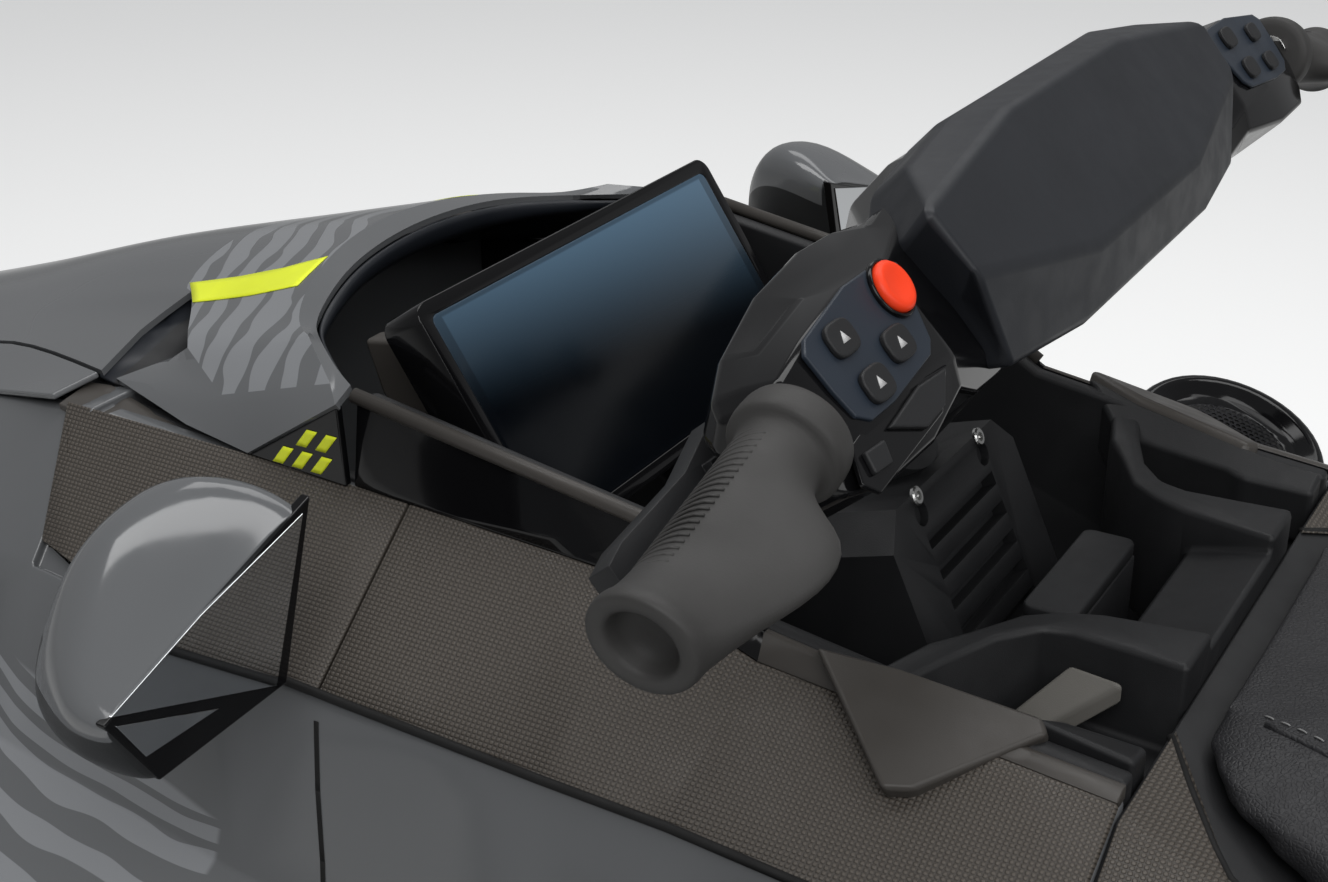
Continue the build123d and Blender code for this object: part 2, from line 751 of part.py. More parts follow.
# Speakers: round pods on the knee panels, with grilles on their faces
SPEAKER_X = 113
SPEAKER_Y = 316
SPEAKER_Z = 537
SPEAKER_R = 63
SPEAKER_LONG = 70
SPEAKER_TAPER = 14
SPEAKER_LEAN = 0.31  # its face leans back and inboard
SPEAKER_TURN = 0.18
GRILLE_R = 45
GRILLE_T = 4
speaker_faces = []
for side in (1, -1):
    aim = Vector(-SPEAKER_LEAN, -SPEAKER_TURN * side, 1)
    speaker_faces.append(Plane((SPEAKER_X, side * SPEAKER_Y, SPEAKER_Z), z_dir=aim))
with BuildPart() as speaker_pods:
    for face in speaker_faces:
        with BuildSketch(face):
            Circle(SPEAKER_R)
        extrude(amount=-SPEAKER_LONG, taper=SPEAKER_TAPER)
        with BuildSketch(face):
            Circle(GRILLE_R)
        extrude(amount=-GRILLE_T, mode=Mode.SUBTRACT)
    add(bow_deck.part, mode=Mode.SUBTRACT)
    add(textured_panels.part, mode=Mode.SUBTRACT)
    add(deck.part, mode=Mode.SUBTRACT)
save(speaker_pods, "speaker_pods")

with BuildPart() as speaker_grilles:
    for face in speaker_faces:
        with BuildSketch(face):
            Circle(GRILLE_R)
        extrude(amount=-GRILLE_T)
    add(bow_deck.part, mode=Mode.SUBTRACT)
    add(textured_panels.part, mode=Mode.SUBTRACT)
save(speaker_grilles, "speaker_grilles")

# Seats, each on the pedestal's top
SEAT_SHOULDER = 0.72
with BuildPart() as seat_front:
    for row in DRIVER:
        base = along(AFT, row.x).top_z
        shoulder_z = base + SEAT_SHOULDER * (row.top_z - base)
        cushion = [(row.foot_y, base), (row.foot_y, shoulder_z), (row.top_y, row.top_z)]
        with BuildSketch(across(row.x)):
            with BuildLine():
                Polyline(*both_sides(cushion), close=True)
            make_face()
    loft(ruled=True)
save(seat_front, "seat_front")

with BuildPart() as seat_rear:
    for row in PASSENGER:
        base = along(AFT, row.x).top_z
        shoulder_z = base + SEAT_SHOULDER * (row.top_z - base)
        cushion = [(row.foot_y, base), (row.foot_y, shoulder_z), (row.top_y, row.top_z)]
        with BuildSketch(across(row.x)):
            with BuildLine():
                Polyline(*both_sides(cushion), close=True)
            make_face()
    loft(ruled=True)
save(seat_rear, "seat_rear")

# Mats in the footwells and on the platform
MAT_EDGE = 14
MAT_START = 90  # behind the seats
with BuildPart() as footwell_mats:
    for side in (1, -1):
        for d in between(AFT, DECK_REAR, COCKPIT_X):
            with BuildSketch(across(d.x)):
                with BuildLine():
                    Polyline(
                        (side * (d.out_y - MAT_EDGE), d.floor_z),
                        (side * (d.in_y + MAT_EDGE), d.floor_z),
                        (side * (d.in_y + MAT_EDGE), d.floor_z + MAT),
                        (side * (d.out_y - MAT_EDGE), d.floor_z + MAT),
                        close=True,
                    )
                make_face()
        loft(ruled=True)
save(footwell_mats, "footwell_mats")

with BuildPart() as platform_mat:
    for x in (TRANSOM, DECK_REAR - MAT_START):
        s = along(BODY, x)
        reach = s.shoulder_y - TRAY_RIM - TRAY_SLOPE - MAT_EDGE
        tray_z = s.rail_z + TRAY_FLOOR
        with BuildSketch(across(x)):
            with BuildLine():
                Polyline(*both_sides([(reach, tray_z), (reach, tray_z + MAT)]), close=True)
            make_face()
    loft(ruled=True)
save(platform_mat, "platform_mat")

# Grab handle behind the passenger
HANDLE_R = 13
HANDLE_Y = 140
HANDLE_BACK = 100
HANDLE_Z = 360
with BuildPart() as grab_handle:
    with BuildLine() as handle_path:
        FilletPolyline(
            (DECK_REAR, HANDLE_Y, HANDLE_Z),
            (DECK_REAR - HANDLE_BACK, HANDLE_Y, HANDLE_Z + 60),
            (DECK_REAR - HANDLE_BACK, -HANDLE_Y, HANDLE_Z + 60),
            (DECK_REAR, -HANDLE_Y, HANDLE_Z),
            radius=45,
        )
    with BuildSketch(Plane(handle_path.line @ 0, z_dir=handle_path.line % 0)):
        Circle(HANDLE_R)
    sweep()
    add(deck.part, mode=Mode.SUBTRACT)
save(grab_handle, "grab_handle")

# Sponsons on the hull's sides, aft
SPONSON_OUT = 26
SPONSON_TIP = 6
SPONSON_REAR = -1520
SPONSON_FRONT = -760
SPONSON_HIGH = 0.7  # shares of the side, from the rail down
SPONSON_DROP = 16
with BuildPart() as sponsons:
    for side in (1, -1):
        for x, out in ((SPONSON_REAR, SPONSON_OUT), (DECK_REAR, SPONSON_OUT), (SPONSON_FRONT, SPONSON_TIP)):
            s = along(BODY, x)
            foot_y, foot_z = side_foot(s)
            high_y, high_z = share_of_side(s, SPONSON_HIGH)
            with BuildSketch(across(x)):
                with BuildLine():
                    Polyline(
                        (side * foot_y, foot_z),
                        (side * high_y, high_z),
                        (side * (high_y + out / 2), high_z - SPONSON_DROP),
                        (side * (foot_y + out), foot_z),
                        close=True,
                    )
                make_face()
        loft(ruled=True)
save(sponsons, "sponsons")

# Ride plate across the tunnel's mouth
PLATE_Z = -190
PLATE_T = 8
with BuildPart() as ride_plate:
    with BuildSketch(Plane.XY.offset(PLATE_Z)):
        with Locations(((TRANSOM + PUMP_FRONT) / 2, 0)):
            Rectangle(PUMP_FRONT - TRANSOM, 2 * TUNNEL_Y)
    extrude(amount=-PLATE_T)
save(ride_plate, "ride_plate")

# Intake grate: bars in a frame across the duct's mouth
GRATE_FRONT = -900
GRATE_BAR = 8
GRATE_BARS = 4
GRATE_Z = -214
GRATE_END = 20
GRATE_T = 12
with BuildPart() as intake_grate:
    with BuildSketch(Plane.XY.offset(GRATE_Z)):
        with Locations(((PUMP_FRONT + GRATE_FRONT) / 2, 0)):
            Rectangle(GRATE_FRONT - PUMP_FRONT, 2 * DUCT_Y)
            with GridLocations(0, 2 * DUCT_Y / (GRATE_BARS + 1), 1, GRATE_BARS + 1):
                Rectangle(
                    GRATE_FRONT - PUMP_FRONT - 2 * GRATE_END,
                    2 * DUCT_Y / (GRATE_BARS + 1) - GRATE_BAR,
                    mode=Mode.SUBTRACT,
                )
    extrude(amount=GRATE_T)
save(intake_grate, "intake_grate")


def pump_plane(x):
    """The plane across the pump's axis at x, facing forward."""
    return Plane((x, 0, PUMP_Z), x_dir=(0, 1, 0), z_dir=(1, 0, 0))


# Pump housing: barrel, flange, stator, tail cone and the ears that carry nozzle and gate
HUB_R = 28
VANE_T = 5
VANE_LONG = 80
VANE_ROOT = 3  # the vanes' ends, inside barrel and hub
EAR_IN = 94
EAR_T = 10
EAR_AHEAD = 40  # the ears' roots, ahead of the barrel's rear
EAR_ROOT = 24  # half height at the root
EAR_TIP = 16
HANGER_Y = 14  # half width of the upper and lower hangers
HANGER_T = 8
HANGER_AHEAD = 30
HANGER_END = 12
HANGER_PIN = 10  # reach of the pin below its hanger
WALL_IN = 4  # how far ears and hangers start inside the barrel
with BuildPart() as pump_housing:
    with BuildSketch(Plane.XZ):
        with BuildLine():
            Polyline(
                (PUMP_FRONT, PUMP_Z + PUMP_BORE),
                (PUMP_FRONT, PUMP_Z + PUMP_R + FLANGE),
                (PUMP_FRONT - FLANGE_T, PUMP_Z + PUMP_R + FLANGE),
                (PUMP_FRONT - FLANGE_T, PUMP_Z + PUMP_R),
                (PUMP_REAR, PUMP_Z + PUMP_R),
                (PIVOT_X, PUMP_Z + TAIL_R),
                (TAIL_REAR, PUMP_Z + TAIL_R),
                (TAIL_REAR, PUMP_Z + TAIL_BORE),
                (PUMP_REAR, PUMP_Z + PUMP_BORE),
                close=True,
            )
        make_face()
    revolve(axis=Axis((0, 0, PUMP_Z), (1, 0, 0)))
    with BuildSketch(pump_plane(PUMP_REAR)):
        Circle(HUB_R)
        for turn in range(VANE_COUNT):
            with Locations(Rot(0, 0, turn * 360 / VANE_COUNT) * Pos((HUB_R + PUMP_BORE) / 2, 0)):
                Rectangle(PUMP_BORE - HUB_R + 2 * VANE_ROOT, VANE_T)
        Circle(SHAFT_R + PIN_FIT, mode=Mode.SUBTRACT)
    extrude(amount=VANE_LONG)
    for up in (1, -1):
        with BuildSketch(Plane.XZ.offset(-HANGER_Y)):
            with BuildLine():
                Polyline(
                    (PUMP_REAR + HANGER_AHEAD, PUMP_Z + up * (PUMP_R - WALL_IN)),
                    (PUMP_REAR + HANGER_AHEAD, PUMP_Z + up * (BOSS_TOP + HANGER_T)),
                    (PIVOT_X - HANGER_END, PUMP_Z + up * (BOSS_TOP + HANGER_T)),
                    (PIVOT_X - HANGER_END, PUMP_Z + up * (BOSS_TOP + FIT)),
                    (PUMP_REAR - WALL_IN, PUMP_Z + up * (BOSS_TOP + FIT)),
                    (PUMP_REAR, PUMP_Z + up * (PUMP_R - WALL_IN)),
                    close=True,
                )
            make_face()
        extrude(amount=2 * HANGER_Y)
        with BuildSketch(Plane((PIVOT_X, 0, PUMP_Z + up * (BOSS_TOP + HANGER_T / 2)), z_dir=(0, 0, -up))):
            Circle(PIN_R)
        extrude(amount=HANGER_T / 2 + HANGER_PIN)
    for side in (1, -1):
        with BuildSketch(Plane.XZ.offset(-side * EAR_IN)):
            with BuildLine():
                Polyline(
                    (PUMP_REAR + EAR_AHEAD, PUMP_Z - EAR_ROOT),
                    (PUMP_REAR + EAR_AHEAD, PUMP_Z + EAR_ROOT),
                    (PIVOT_X - EAR_TIP, PUMP_Z + EAR_TIP),
                    (PIVOT_X - EAR_TIP, PUMP_Z - EAR_TIP),
                    close=True,
                )
            make_face()
        extrude(amount=-side * EAR_T)
        with BuildSketch(Plane.XZ.offset(-side * (PUMP_R - 6))):
            with Locations((PUMP_REAR + 22, PUMP_Z)):
                Rectangle(34, 2 * EAR_ROOT)
        extrude(amount=-side * (EAR_IN - PUMP_R + 8))
        with BuildSketch(Plane.XZ.offset(-side * (EAR_IN + EAR_T / 2))):
            with Locations((PIVOT_X, PUMP_Z)):
                Circle(GATE_PIN_R)
        extrude(amount=-side * (GATE_Y + GATE_ARM + GATE_PIN_END - EAR_IN - EAR_T / 2))
save(pump_housing, "pump_housing")

# Impeller: hub, shaft and pitched blades
BLADE_MID = PUMP_FRONT - BLADE_BACK
BLADE_CHORD = 74
BLADE_T = 5
BLADE_SWEPT = 120  # length that the blades' tips are turned down over
HUB_LONG = 76
HUB_TAPER = 6
SHAFT_OUT = 60  # ahead of the barrel's mouth
SHAFT_IN = 20  # into the stator's hub
ROOT_IN = 8  # the blades' roots, inside the hub
with BuildPart() as impeller:
    with BuildSketch(pump_plane(PUMP_REAR + SHAFT_IN)):
        Circle(SHAFT_R)
    extrude(amount=PUMP_FRONT + SHAFT_OUT - PUMP_REAR - SHAFT_IN)
    with BuildSketch(pump_plane(BLADE_MID - HUB_LONG / 2)):
        Circle(HUB_R)
    extrude(amount=HUB_LONG, taper=HUB_TAPER)
    for turn in range(BLADE_COUNT):
        blade_root = Plane((BLADE_MID, 0, PUMP_Z)).rotated((turn * 360 / BLADE_COUNT, 0, 0))
        with BuildSketch(blade_root.offset(HUB_R - ROOT_IN)):
            Rectangle(BLADE_CHORD, BLADE_T, rotation=BLADE_PITCH)
        extrude(amount=BLADE_R - HUB_R + 2 * ROOT_IN)
    with BuildSketch(pump_plane(BLADE_MID - BLADE_SWEPT / 2)):
        Circle(2 * BLADE_R)
        Circle(BLADE_R, mode=Mode.SUBTRACT)
    extrude(amount=BLADE_SWEPT, mode=Mode.SUBTRACT)
save(impeller, "impeller")

# Steering nozzle, hung between the upper and lower ears
with BuildPart() as nozzle:
    with BuildSketch(Plane.XZ):
        with BuildLine():
            Polyline(
                (PIVOT_X, PUMP_Z + NOZZLE_R - NOZZLE_WALL),
                (PIVOT_X, PUMP_Z + NOZZLE_R),
                (PIVOT_X - NOZZLE_LONG, PUMP_Z + NOZZLE_EXIT_R),
                (PIVOT_X - NOZZLE_LONG, PUMP_Z + NOZZLE_EXIT_R - NOZZLE_WALL),
                close=True,
            )
        make_face()
    revolve(axis=Axis((0, 0, PUMP_Z), (1, 0, 0)))
    for up in (1, -1):
        with BuildSketch(Plane((PIVOT_X, 0, PUMP_Z + up * BOSS_TOP), z_dir=(0, 0, -up))):
            Circle(BOSS_R)
        extrude(amount=BOSS_TOP - NOZZLE_R + WALL_IN)
        with BuildSketch(Plane((PIVOT_X, 0, PUMP_Z + up * BOSS_TOP), z_dir=(0, 0, -up))):
            Circle(PIN_R + PIN_FIT)
        extrude(amount=BOSS_TOP - NOZZLE_EXIT_R, mode=Mode.SUBTRACT)
save(nozzle, "nozzle")

# Reverse gate: a curved bucket on two arms
gate_fan = [
    (2 * GATE_R, radians(GATE_FROM)),
    (3 * GATE_R, radians((GATE_FROM + GATE_TO) / 2)),
    (2 * GATE_R, radians(GATE_TO)),
]
with BuildPart() as reverse_gate:
    with BuildSketch(Plane.XZ.offset(-GATE_Y)):
        with Locations((PIVOT_X, PUMP_Z)):
            Circle(GATE_R + GATE_WALL)
            Circle(GATE_R, mode=Mode.SUBTRACT)
        with BuildLine():
            Polyline(
                (PIVOT_X, PUMP_Z),
                *[(PIVOT_X - reach * cos(turn), PUMP_Z + reach * sin(turn)) for reach, turn in gate_fan],
                close=True,
            )
        make_face(mode=Mode.INTERSECT)
    extrude(amount=2 * GATE_Y)
    for side in (1, -1):
        with BuildSketch(Plane.XZ.offset(-side * GATE_Y)):
            with BuildLine():
                Polyline(
                    (PIVOT_X + 14, PUMP_Z + 4),
                    (PIVOT_X - 12, PUMP_Z - 12),
                    (PIVOT_X - 0.76 * GATE_R, PUMP_Z + 0.66 * GATE_R),
                    (PIVOT_X + 0.12 * GATE_R, PUMP_Z + 1.0 * GATE_R),
                    close=True,
                )
            make_face()
        extrude(amount=-side * GATE_ARM)
        with BuildSketch(Plane.XZ.offset(-side * GATE_Y)):
            with Locations((PIVOT_X, PUMP_Z)):
                Circle(GATE_EYE_R)
        extrude(amount=-side * GATE_ARM)
        with BuildSketch(Plane.XZ.offset(-side * GATE_Y)):
            with Locations((PIVOT_X, PUMP_Z)):
                Circle(GATE_PIN_R + PIN_FIT)
        extrude(amount=-side * GATE_ARM, mode=Mode.SUBTRACT)
save(reverse_gate, "reverse_gate")

# Boarding step: a bent tube on two transom brackets
with BuildPart() as step_brackets:
    for side in (1, -1):
        with BuildSketch(Plane.XZ.offset(-side * (STEP_Y + STEP_EYE_W / 2 + FIT))):
            with BuildLine():
                Polyline(
                    (TRANSOM, STEP_Z - BRACKET_ROOT),
                    (TRANSOM, STEP_Z + BRACKET_ROOT),
                    (STEP_X - BRACKET_END, STEP_Z + BRACKET_END),
                    (STEP_X - BRACKET_END, STEP_Z - BRACKET_END),
                    close=True,
                )
            make_face()
        extrude(amount=-side * BRACKET_T)
        with BuildSketch(Plane.XZ.offset(-side * (STEP_Y + STEP_EYE_W / 2 + FIT))):
            with Locations((STEP_X, STEP_Z)):
                Circle(PIN_R)
        extrude(amount=side * STEP_EYE_W)
save(step_brackets, "step_brackets")

with BuildPart() as boarding_step:
    with BuildLine() as step_path:
        FilletPolyline(
            (STEP_X, STEP_Y, STEP_Z + STEP_ROOT),
            (STEP_X, STEP_Y, STEP_Z + STEP_LONG),
            (STEP_X, -STEP_Y, STEP_Z + STEP_LONG),
            (STEP_X, -STEP_Y, STEP_Z + STEP_ROOT),
            radius=40,
        )
    with BuildSketch(Plane(step_path.line @ 0, z_dir=step_path.line % 0)):
        Circle(STEP_R)
    sweep()
    for side in (1, -1):
        with BuildSketch(Plane.XZ.offset(-side * (STEP_Y - STEP_EYE_W / 2))):
            with Locations((STEP_X, STEP_Z)):
                Circle(STEP_EYE_R)
        extrude(amount=-side * STEP_EYE_W)
        with BuildSketch(Plane.XZ.offset(-side * (STEP_Y - STEP_EYE_W / 2))):
            with Locations((STEP_X, STEP_Z)):
                Circle(PIN_R + PIN_FIT)
        extrude(amount=-side * STEP_EYE_W, mode=Mode.SUBTRACT)
save(boarding_step, "boarding_step")

# Bow eye on the stem, and lifting and towing eyes on the transom
BOW_EYE_X = 1612
BOW_EYE_Z = 132
STEM_SLOPE = 138  # degrees, square to the stem
with BuildPart() as bow_eye:
    with BuildSketch(Plane.XZ.offset(-EYE_T / 2)):
        with Locations((BOW_EYE_X, BOW_EYE_Z)):
            Circle(EYE_R)
            Rectangle(2 * EYE_R, EYE_NECK, rotation=STEM_SLOPE, align=(Align.MIN, Align.CENTER))
            Circle(EYE_HOLE, mode=Mode.SUBTRACT)
    extrude(amount=EYE_T)
    add(hull.part, mode=Mode.SUBTRACT)
save(bow_eye, "bow_eye")

STERN_EYES = [(330, 130), (-330, 130)]  # half width and height of each
with BuildPart() as stern_eyes:
    for eye_y, eye_z in STERN_EYES:
        with BuildSketch(Plane.XZ.offset(-eye_y - EYE_T / 2)):
            with Locations((TRANSOM - EYE_R - EYE_OUT, eye_z)):
                Circle(EYE_R)
                Rectangle(EYE_R + EYE_OUT, 2 * EYE_R, align=(Align.MIN, Align.CENTER))
                Circle(EYE_HOLE, mode=Mode.SUBTRACT)
        extrude(amount=EYE_T)
save(stern_eyes, "stern_eyes")

# Front lid: an arched shell, with its rear rim cut back in the middle
with BuildPart() as hood:
    for row in LID:
        foot_z = along(BODY, row.x).up_z + FIT
        outer = [(row.foot_y, foot_z), (row.crease_y, row.crease_z), (row.crest_y, row.crest_z)]
        inner = [
            (row.crest_y - LID_WALL, row.crest_z - LID_WALL),
            (row.crease_y - LID_FOOT, row.crease_z - LID_WALL / 2),
            (row.foot_y - LID_FOOT, foot_z),
        ]
        arch = [*outer, (0, row.middle_z), *mirrored(outer), *[(-y, z) for y, z in reversed(inner)]]
        with BuildSketch(across(row.x)):
            with BuildLine():
                Polyline(*arch, (0, row.middle_z - LID_WALL), *inner, close=True)
            make_face()
    loft(ruled=True)
    with BuildSketch(Plane.XY.offset(WELL_Z)):
        with BuildLine():
            Polyline(*[(x, -y) for x, y in LID_RIM], *reversed(LID_RIM), close=True)
        make_face()
    extrude(amount=RIM_HIGH, mode=Mode.SUBTRACT)
save(hood, "hood")

# Pad over the middle of the bars
pad_face = [(74, 39), (194, 19), (191, -15), (75, -40)]


def pad_outline(grow):
    """The pad's eight-sided outline, grown outwards by grow."""
    half = [(x + grow, y + (grow if y > 0 else -grow)) for x, y in pad_face]
    return [*half, *[(-x, y) for x, y in reversed(half)]]


with BuildPart() as handlebar_pad:
    for depth, grow in ((0, -PAD_BEVEL), (PAD_BEVEL, 0), (PAD_DEPTH, PAD_SKIRT)):
        with BuildSketch(bar_plane.offset(depth)):
            with BuildLine():
                Polyline(*pad_outline(grow), close=True)
            make_face()
    loft(ruled=True)
    split(bisect_by=Plane((0, POD_IN, 0), z_dir=(0, 1, 0)), keep=Keep.BOTTOM)
    split(bisect_by=Plane((0, -POD_IN, 0), z_dir=(0, 1, 0)), keep=Keep.TOP)
save(handlebar_pad, "handlebar_pad")

# Cowl between the pad and the column
with BuildPart() as handlebar_cowl:
    for depth, grow, pull in ((PAD_DEPTH, PAD_SKIRT - COWL_STEP, 1.0), (HEAD_DEPTH, COWL_END, COWL_PULL)):
        with BuildSketch(bar_plane.offset(depth)):
            with BuildLine():
                Polyline(*[(x * pull, y) for x, y in pad_outline(grow)], close=True)
            make_face()
    loft(ruled=True)
    split(bisect_by=Plane((0, POD_IN, 0), z_dir=(0, 1, 0)), keep=Keep.BOTTOM)
    split(bisect_by=Plane((0, -POD_IN, 0), z_dir=(0, 1, 0)), keep=Keep.TOP)
save(handlebar_cowl, "handlebar_cowl")

# Column, from the cowl down to its boss
with BuildPart() as steering_column:
    with BuildSketch(Plane(column_foot + axis_dir * FIT, z_dir=axis_dir)):
        Circle(COLUMN_R)
    extrude(amount=COLUMN_LONG)
    add(handlebar_cowl.part, mode=Mode.SUBTRACT)
    add(handlebar_pad.part, mode=Mode.SUBTRACT)
save(steering_column, "steering_column")

# Switch pods between the pad and the grips: heights over the pad's middle at each section
Pod = namedtuple("Pod", "x face_high back_high low")
PODS = [Pod(POD_IN, 13, 32, -60), Pod(POD_IN + 80, 9, 27, -58), Pod(POD_OUT, 4, 12, -54)]
POD_BEVEL = 12
with BuildPart() as control_pods:
    for side in (1, -1):
        for row in PODS:
            section_origin = bar_plane.from_local_coords(Vector(side * row.x, 0, 0))
            with BuildSketch(Plane(section_origin, x_dir=bar_plane.z_dir, z_dir=(0, 1, 0))):
                with BuildLine():
                    Polyline(
                        (POD_FACE, -row.face_high),
                        (POD_FACE, -row.low),
                        (POD_DEPTH - POD_BEVEL, -row.low),
                        (POD_DEPTH, -row.low - POD_BEVEL),
                        (POD_DEPTH, -row.back_high + POD_BEVEL),
                        (POD_DEPTH - POD_BEVEL, -row.back_high),
                        (POD_FACE + POD_BEVEL, -row.back_high),
                        close=True,
                    )
                make_face()
        loft(ruled=True)
save(control_pods, "control_pods")

# Bar ends, from the pods out through the grips
GRIP_GAP = 6
END_DEEP = 12
grip_planes = []
for side in (1, -1):
    grip_root = bar_plane.from_local_coords(Vector(side * POD_OUT, GRIP_Y, GRIP_DEPTH))
    outward = Vector(0, side * cos(radians(GRIP_DROOP)), -sin(radians(GRIP_DROOP)))
    grip_planes.append(Plane(grip_root, x_dir=(1, 0, 0), z_dir=outward))
with BuildPart() as handlebar_tube:
    for plane in grip_planes:
        with BuildSketch(plane.offset(-GRIP_GAP)):
            Circle(BAR_R)
        extrude(amount=2 * GRIP_GAP + GRIP_LONG - END_DEEP)
    add(control_pods.part, mode=Mode.SUBTRACT)
save(handlebar_tube, "handlebar_tube")

# Grips: a sleeve with an end flange and a palm rest towards the rider
PALM_T = 20
FLANGE_LONG = 14
palm_side = [(12, 0), (18, 26), (44, 36), (74, 26), (88, 0)]  # along the grip, and aft of its axis
with BuildPart() as grips:
    for side, plane in zip((1, -1), grip_planes):
        with BuildSketch(plane.offset(GRIP_GAP)):
            Circle(GRIP_R)
        extrude(amount=GRIP_LONG)
        with BuildSketch(plane.offset(GRIP_GAP + GRIP_LONG - FLANGE_LONG)):
            Circle(GRIP_END_R)
        extrude(amount=FLANGE_LONG)
        upward = Vector(0, side * sin(radians(GRIP_DROOP)), cos(radians(GRIP_DROOP)))
        palm_plane = Plane(plane.origin, x_dir=plane.z_dir, z_dir=upward)
        with BuildSketch(palm_plane):
            with BuildLine():
                Polyline(*[(GRIP_GAP + a, side * b) for a, b in palm_side], close=True)
            make_face()
        extrude(amount=PALM_T / 2, both=True)
        with BuildSketch(plane.offset(GRIP_GAP)):
            Circle(BAR_R + PIN_FIT)
        extrude(amount=GRIP_LONG, mode=Mode.SUBTRACT)
save(grips, "grips")

# Levers ahead of the grips: the brake to port and the throttle to starboard
lever_shape = [(298, 0), (298, -26), (330, -31), (385, -36), (398, -34), (398, -21), (385, -17), (332, -11)]
LEVER_ROOT_X = 310
LEVER_ROOT_W = 22
LEVER_ROOT_H = 18
LEVER_DEPTH = GRIP_DEPTH + LEVER_REACH - LEVER_T / 2


def make_lever(side):
    """A blade on a root block that stands on the back of a pod."""
    with BuildPart() as lever:
        with BuildSketch(bar_plane.offset(LEVER_DEPTH)):
            with BuildLine():
                Polyline(*[(side * x, y) for x, y in lever_shape], close=True)
            make_face()
        extrude(amount=LEVER_T)
        with BuildSketch(bar_plane.offset(POD_DEPTH)):
            with Locations((side * LEVER_ROOT_X, GRIP_Y)):
                Rectangle(LEVER_ROOT_W, LEVER_ROOT_H)
        extrude(amount=LEVER_DEPTH - POD_DEPTH)
    return lever


save(make_lever(1), "brake_lever")
save(make_lever(-1), "throttle_lever")

# Start button and the other switches, standing on the pods' faces
START = (235, 1)  # place on the bar's plane
Key = namedtuple("Key", "x y wide high")
KEYS = [
    Key(287, -3, 17, 11),
    Key(255, -18, 17, 11),
    Key(284, -24, 17, 11),
    Key(262, -43, 24, 12),
    Key(308, -46, 13, 10),
]
with BuildPart() as start_button:
    with BuildSketch(bar_plane.offset(POD_FACE)):
        with Locations(START):
            Circle(START_R)
    extrude(amount=-KEY_T)
save(start_button, "start_button")

with BuildPart() as control_buttons:
    for key in KEYS:
        with BuildSketch(bar_plane.offset(POD_FACE)):
            with Locations((key.x, key.y)):
                RectangleRounded(key.wide, key.high, KEY_R)
        extrude(amount=-KEY_T)
    for key in KEYS[:3]:
        with BuildSketch(bar_plane.offset(POD_FACE)):
            with Locations((-key.x, key.y)):
                RectangleRounded(key.wide, key.high, KEY_R)
        extrude(amount=-KEY_T)
save(control_buttons, "control_buttons")
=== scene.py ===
"""Looks of a three-seat personal watercraft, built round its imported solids."""
import json
import math

import bmesh
import bpy
from bpy.props import FloatProperty, FloatVectorProperty, PointerProperty
from mathutils import Matrix, Vector
from mathutils.bvhtree import BVHTree

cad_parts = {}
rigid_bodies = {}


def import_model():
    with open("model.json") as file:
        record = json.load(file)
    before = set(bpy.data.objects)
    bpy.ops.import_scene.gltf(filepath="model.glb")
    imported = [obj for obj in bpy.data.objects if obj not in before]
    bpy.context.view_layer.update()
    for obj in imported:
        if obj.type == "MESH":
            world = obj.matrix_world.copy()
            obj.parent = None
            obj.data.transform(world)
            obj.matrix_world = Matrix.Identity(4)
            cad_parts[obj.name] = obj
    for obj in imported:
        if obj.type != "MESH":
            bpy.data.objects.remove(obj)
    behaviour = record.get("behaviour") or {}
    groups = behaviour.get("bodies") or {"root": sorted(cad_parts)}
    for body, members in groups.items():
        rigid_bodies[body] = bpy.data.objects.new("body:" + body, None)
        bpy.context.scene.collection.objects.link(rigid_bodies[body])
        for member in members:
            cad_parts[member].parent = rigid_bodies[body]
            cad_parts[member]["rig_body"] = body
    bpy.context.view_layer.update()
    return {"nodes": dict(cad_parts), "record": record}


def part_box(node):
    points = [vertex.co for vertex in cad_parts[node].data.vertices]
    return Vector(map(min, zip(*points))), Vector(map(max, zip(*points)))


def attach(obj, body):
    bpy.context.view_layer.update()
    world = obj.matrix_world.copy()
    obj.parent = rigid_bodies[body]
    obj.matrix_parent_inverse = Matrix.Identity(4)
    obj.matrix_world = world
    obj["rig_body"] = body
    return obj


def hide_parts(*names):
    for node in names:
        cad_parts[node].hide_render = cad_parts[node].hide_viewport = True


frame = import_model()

bl_info = {
    "name": "Personal watercraft",
    "version": (1, 0, 0),
    "blender": (4, 5, 0),
    "location": "View3D > Sidebar > Watercraft",
    "description": "Builds the finishes and detailed pieces of a personal watercraft",
    "category": "Object",
}

MM = 0.001
UP = Vector((0, 0, 1))
HANDS = ((1, "port"), (-1, "starboard"))
NODES = frame["nodes"]


def colour_setting(label, about, value):
    """A colour that the sidebar shows, in linear light."""
    return FloatVectorProperty(
        name=label, description=about, subtype="COLOR", size=3, min=0, max=1, default=value)


def size_setting(label, about, value, low, high):
    """A length that the sidebar shows, in metres."""
    return FloatProperty(
        name=label, description=about, subtype="DISTANCE", unit="LENGTH", default=value,
        min=low, max=high)


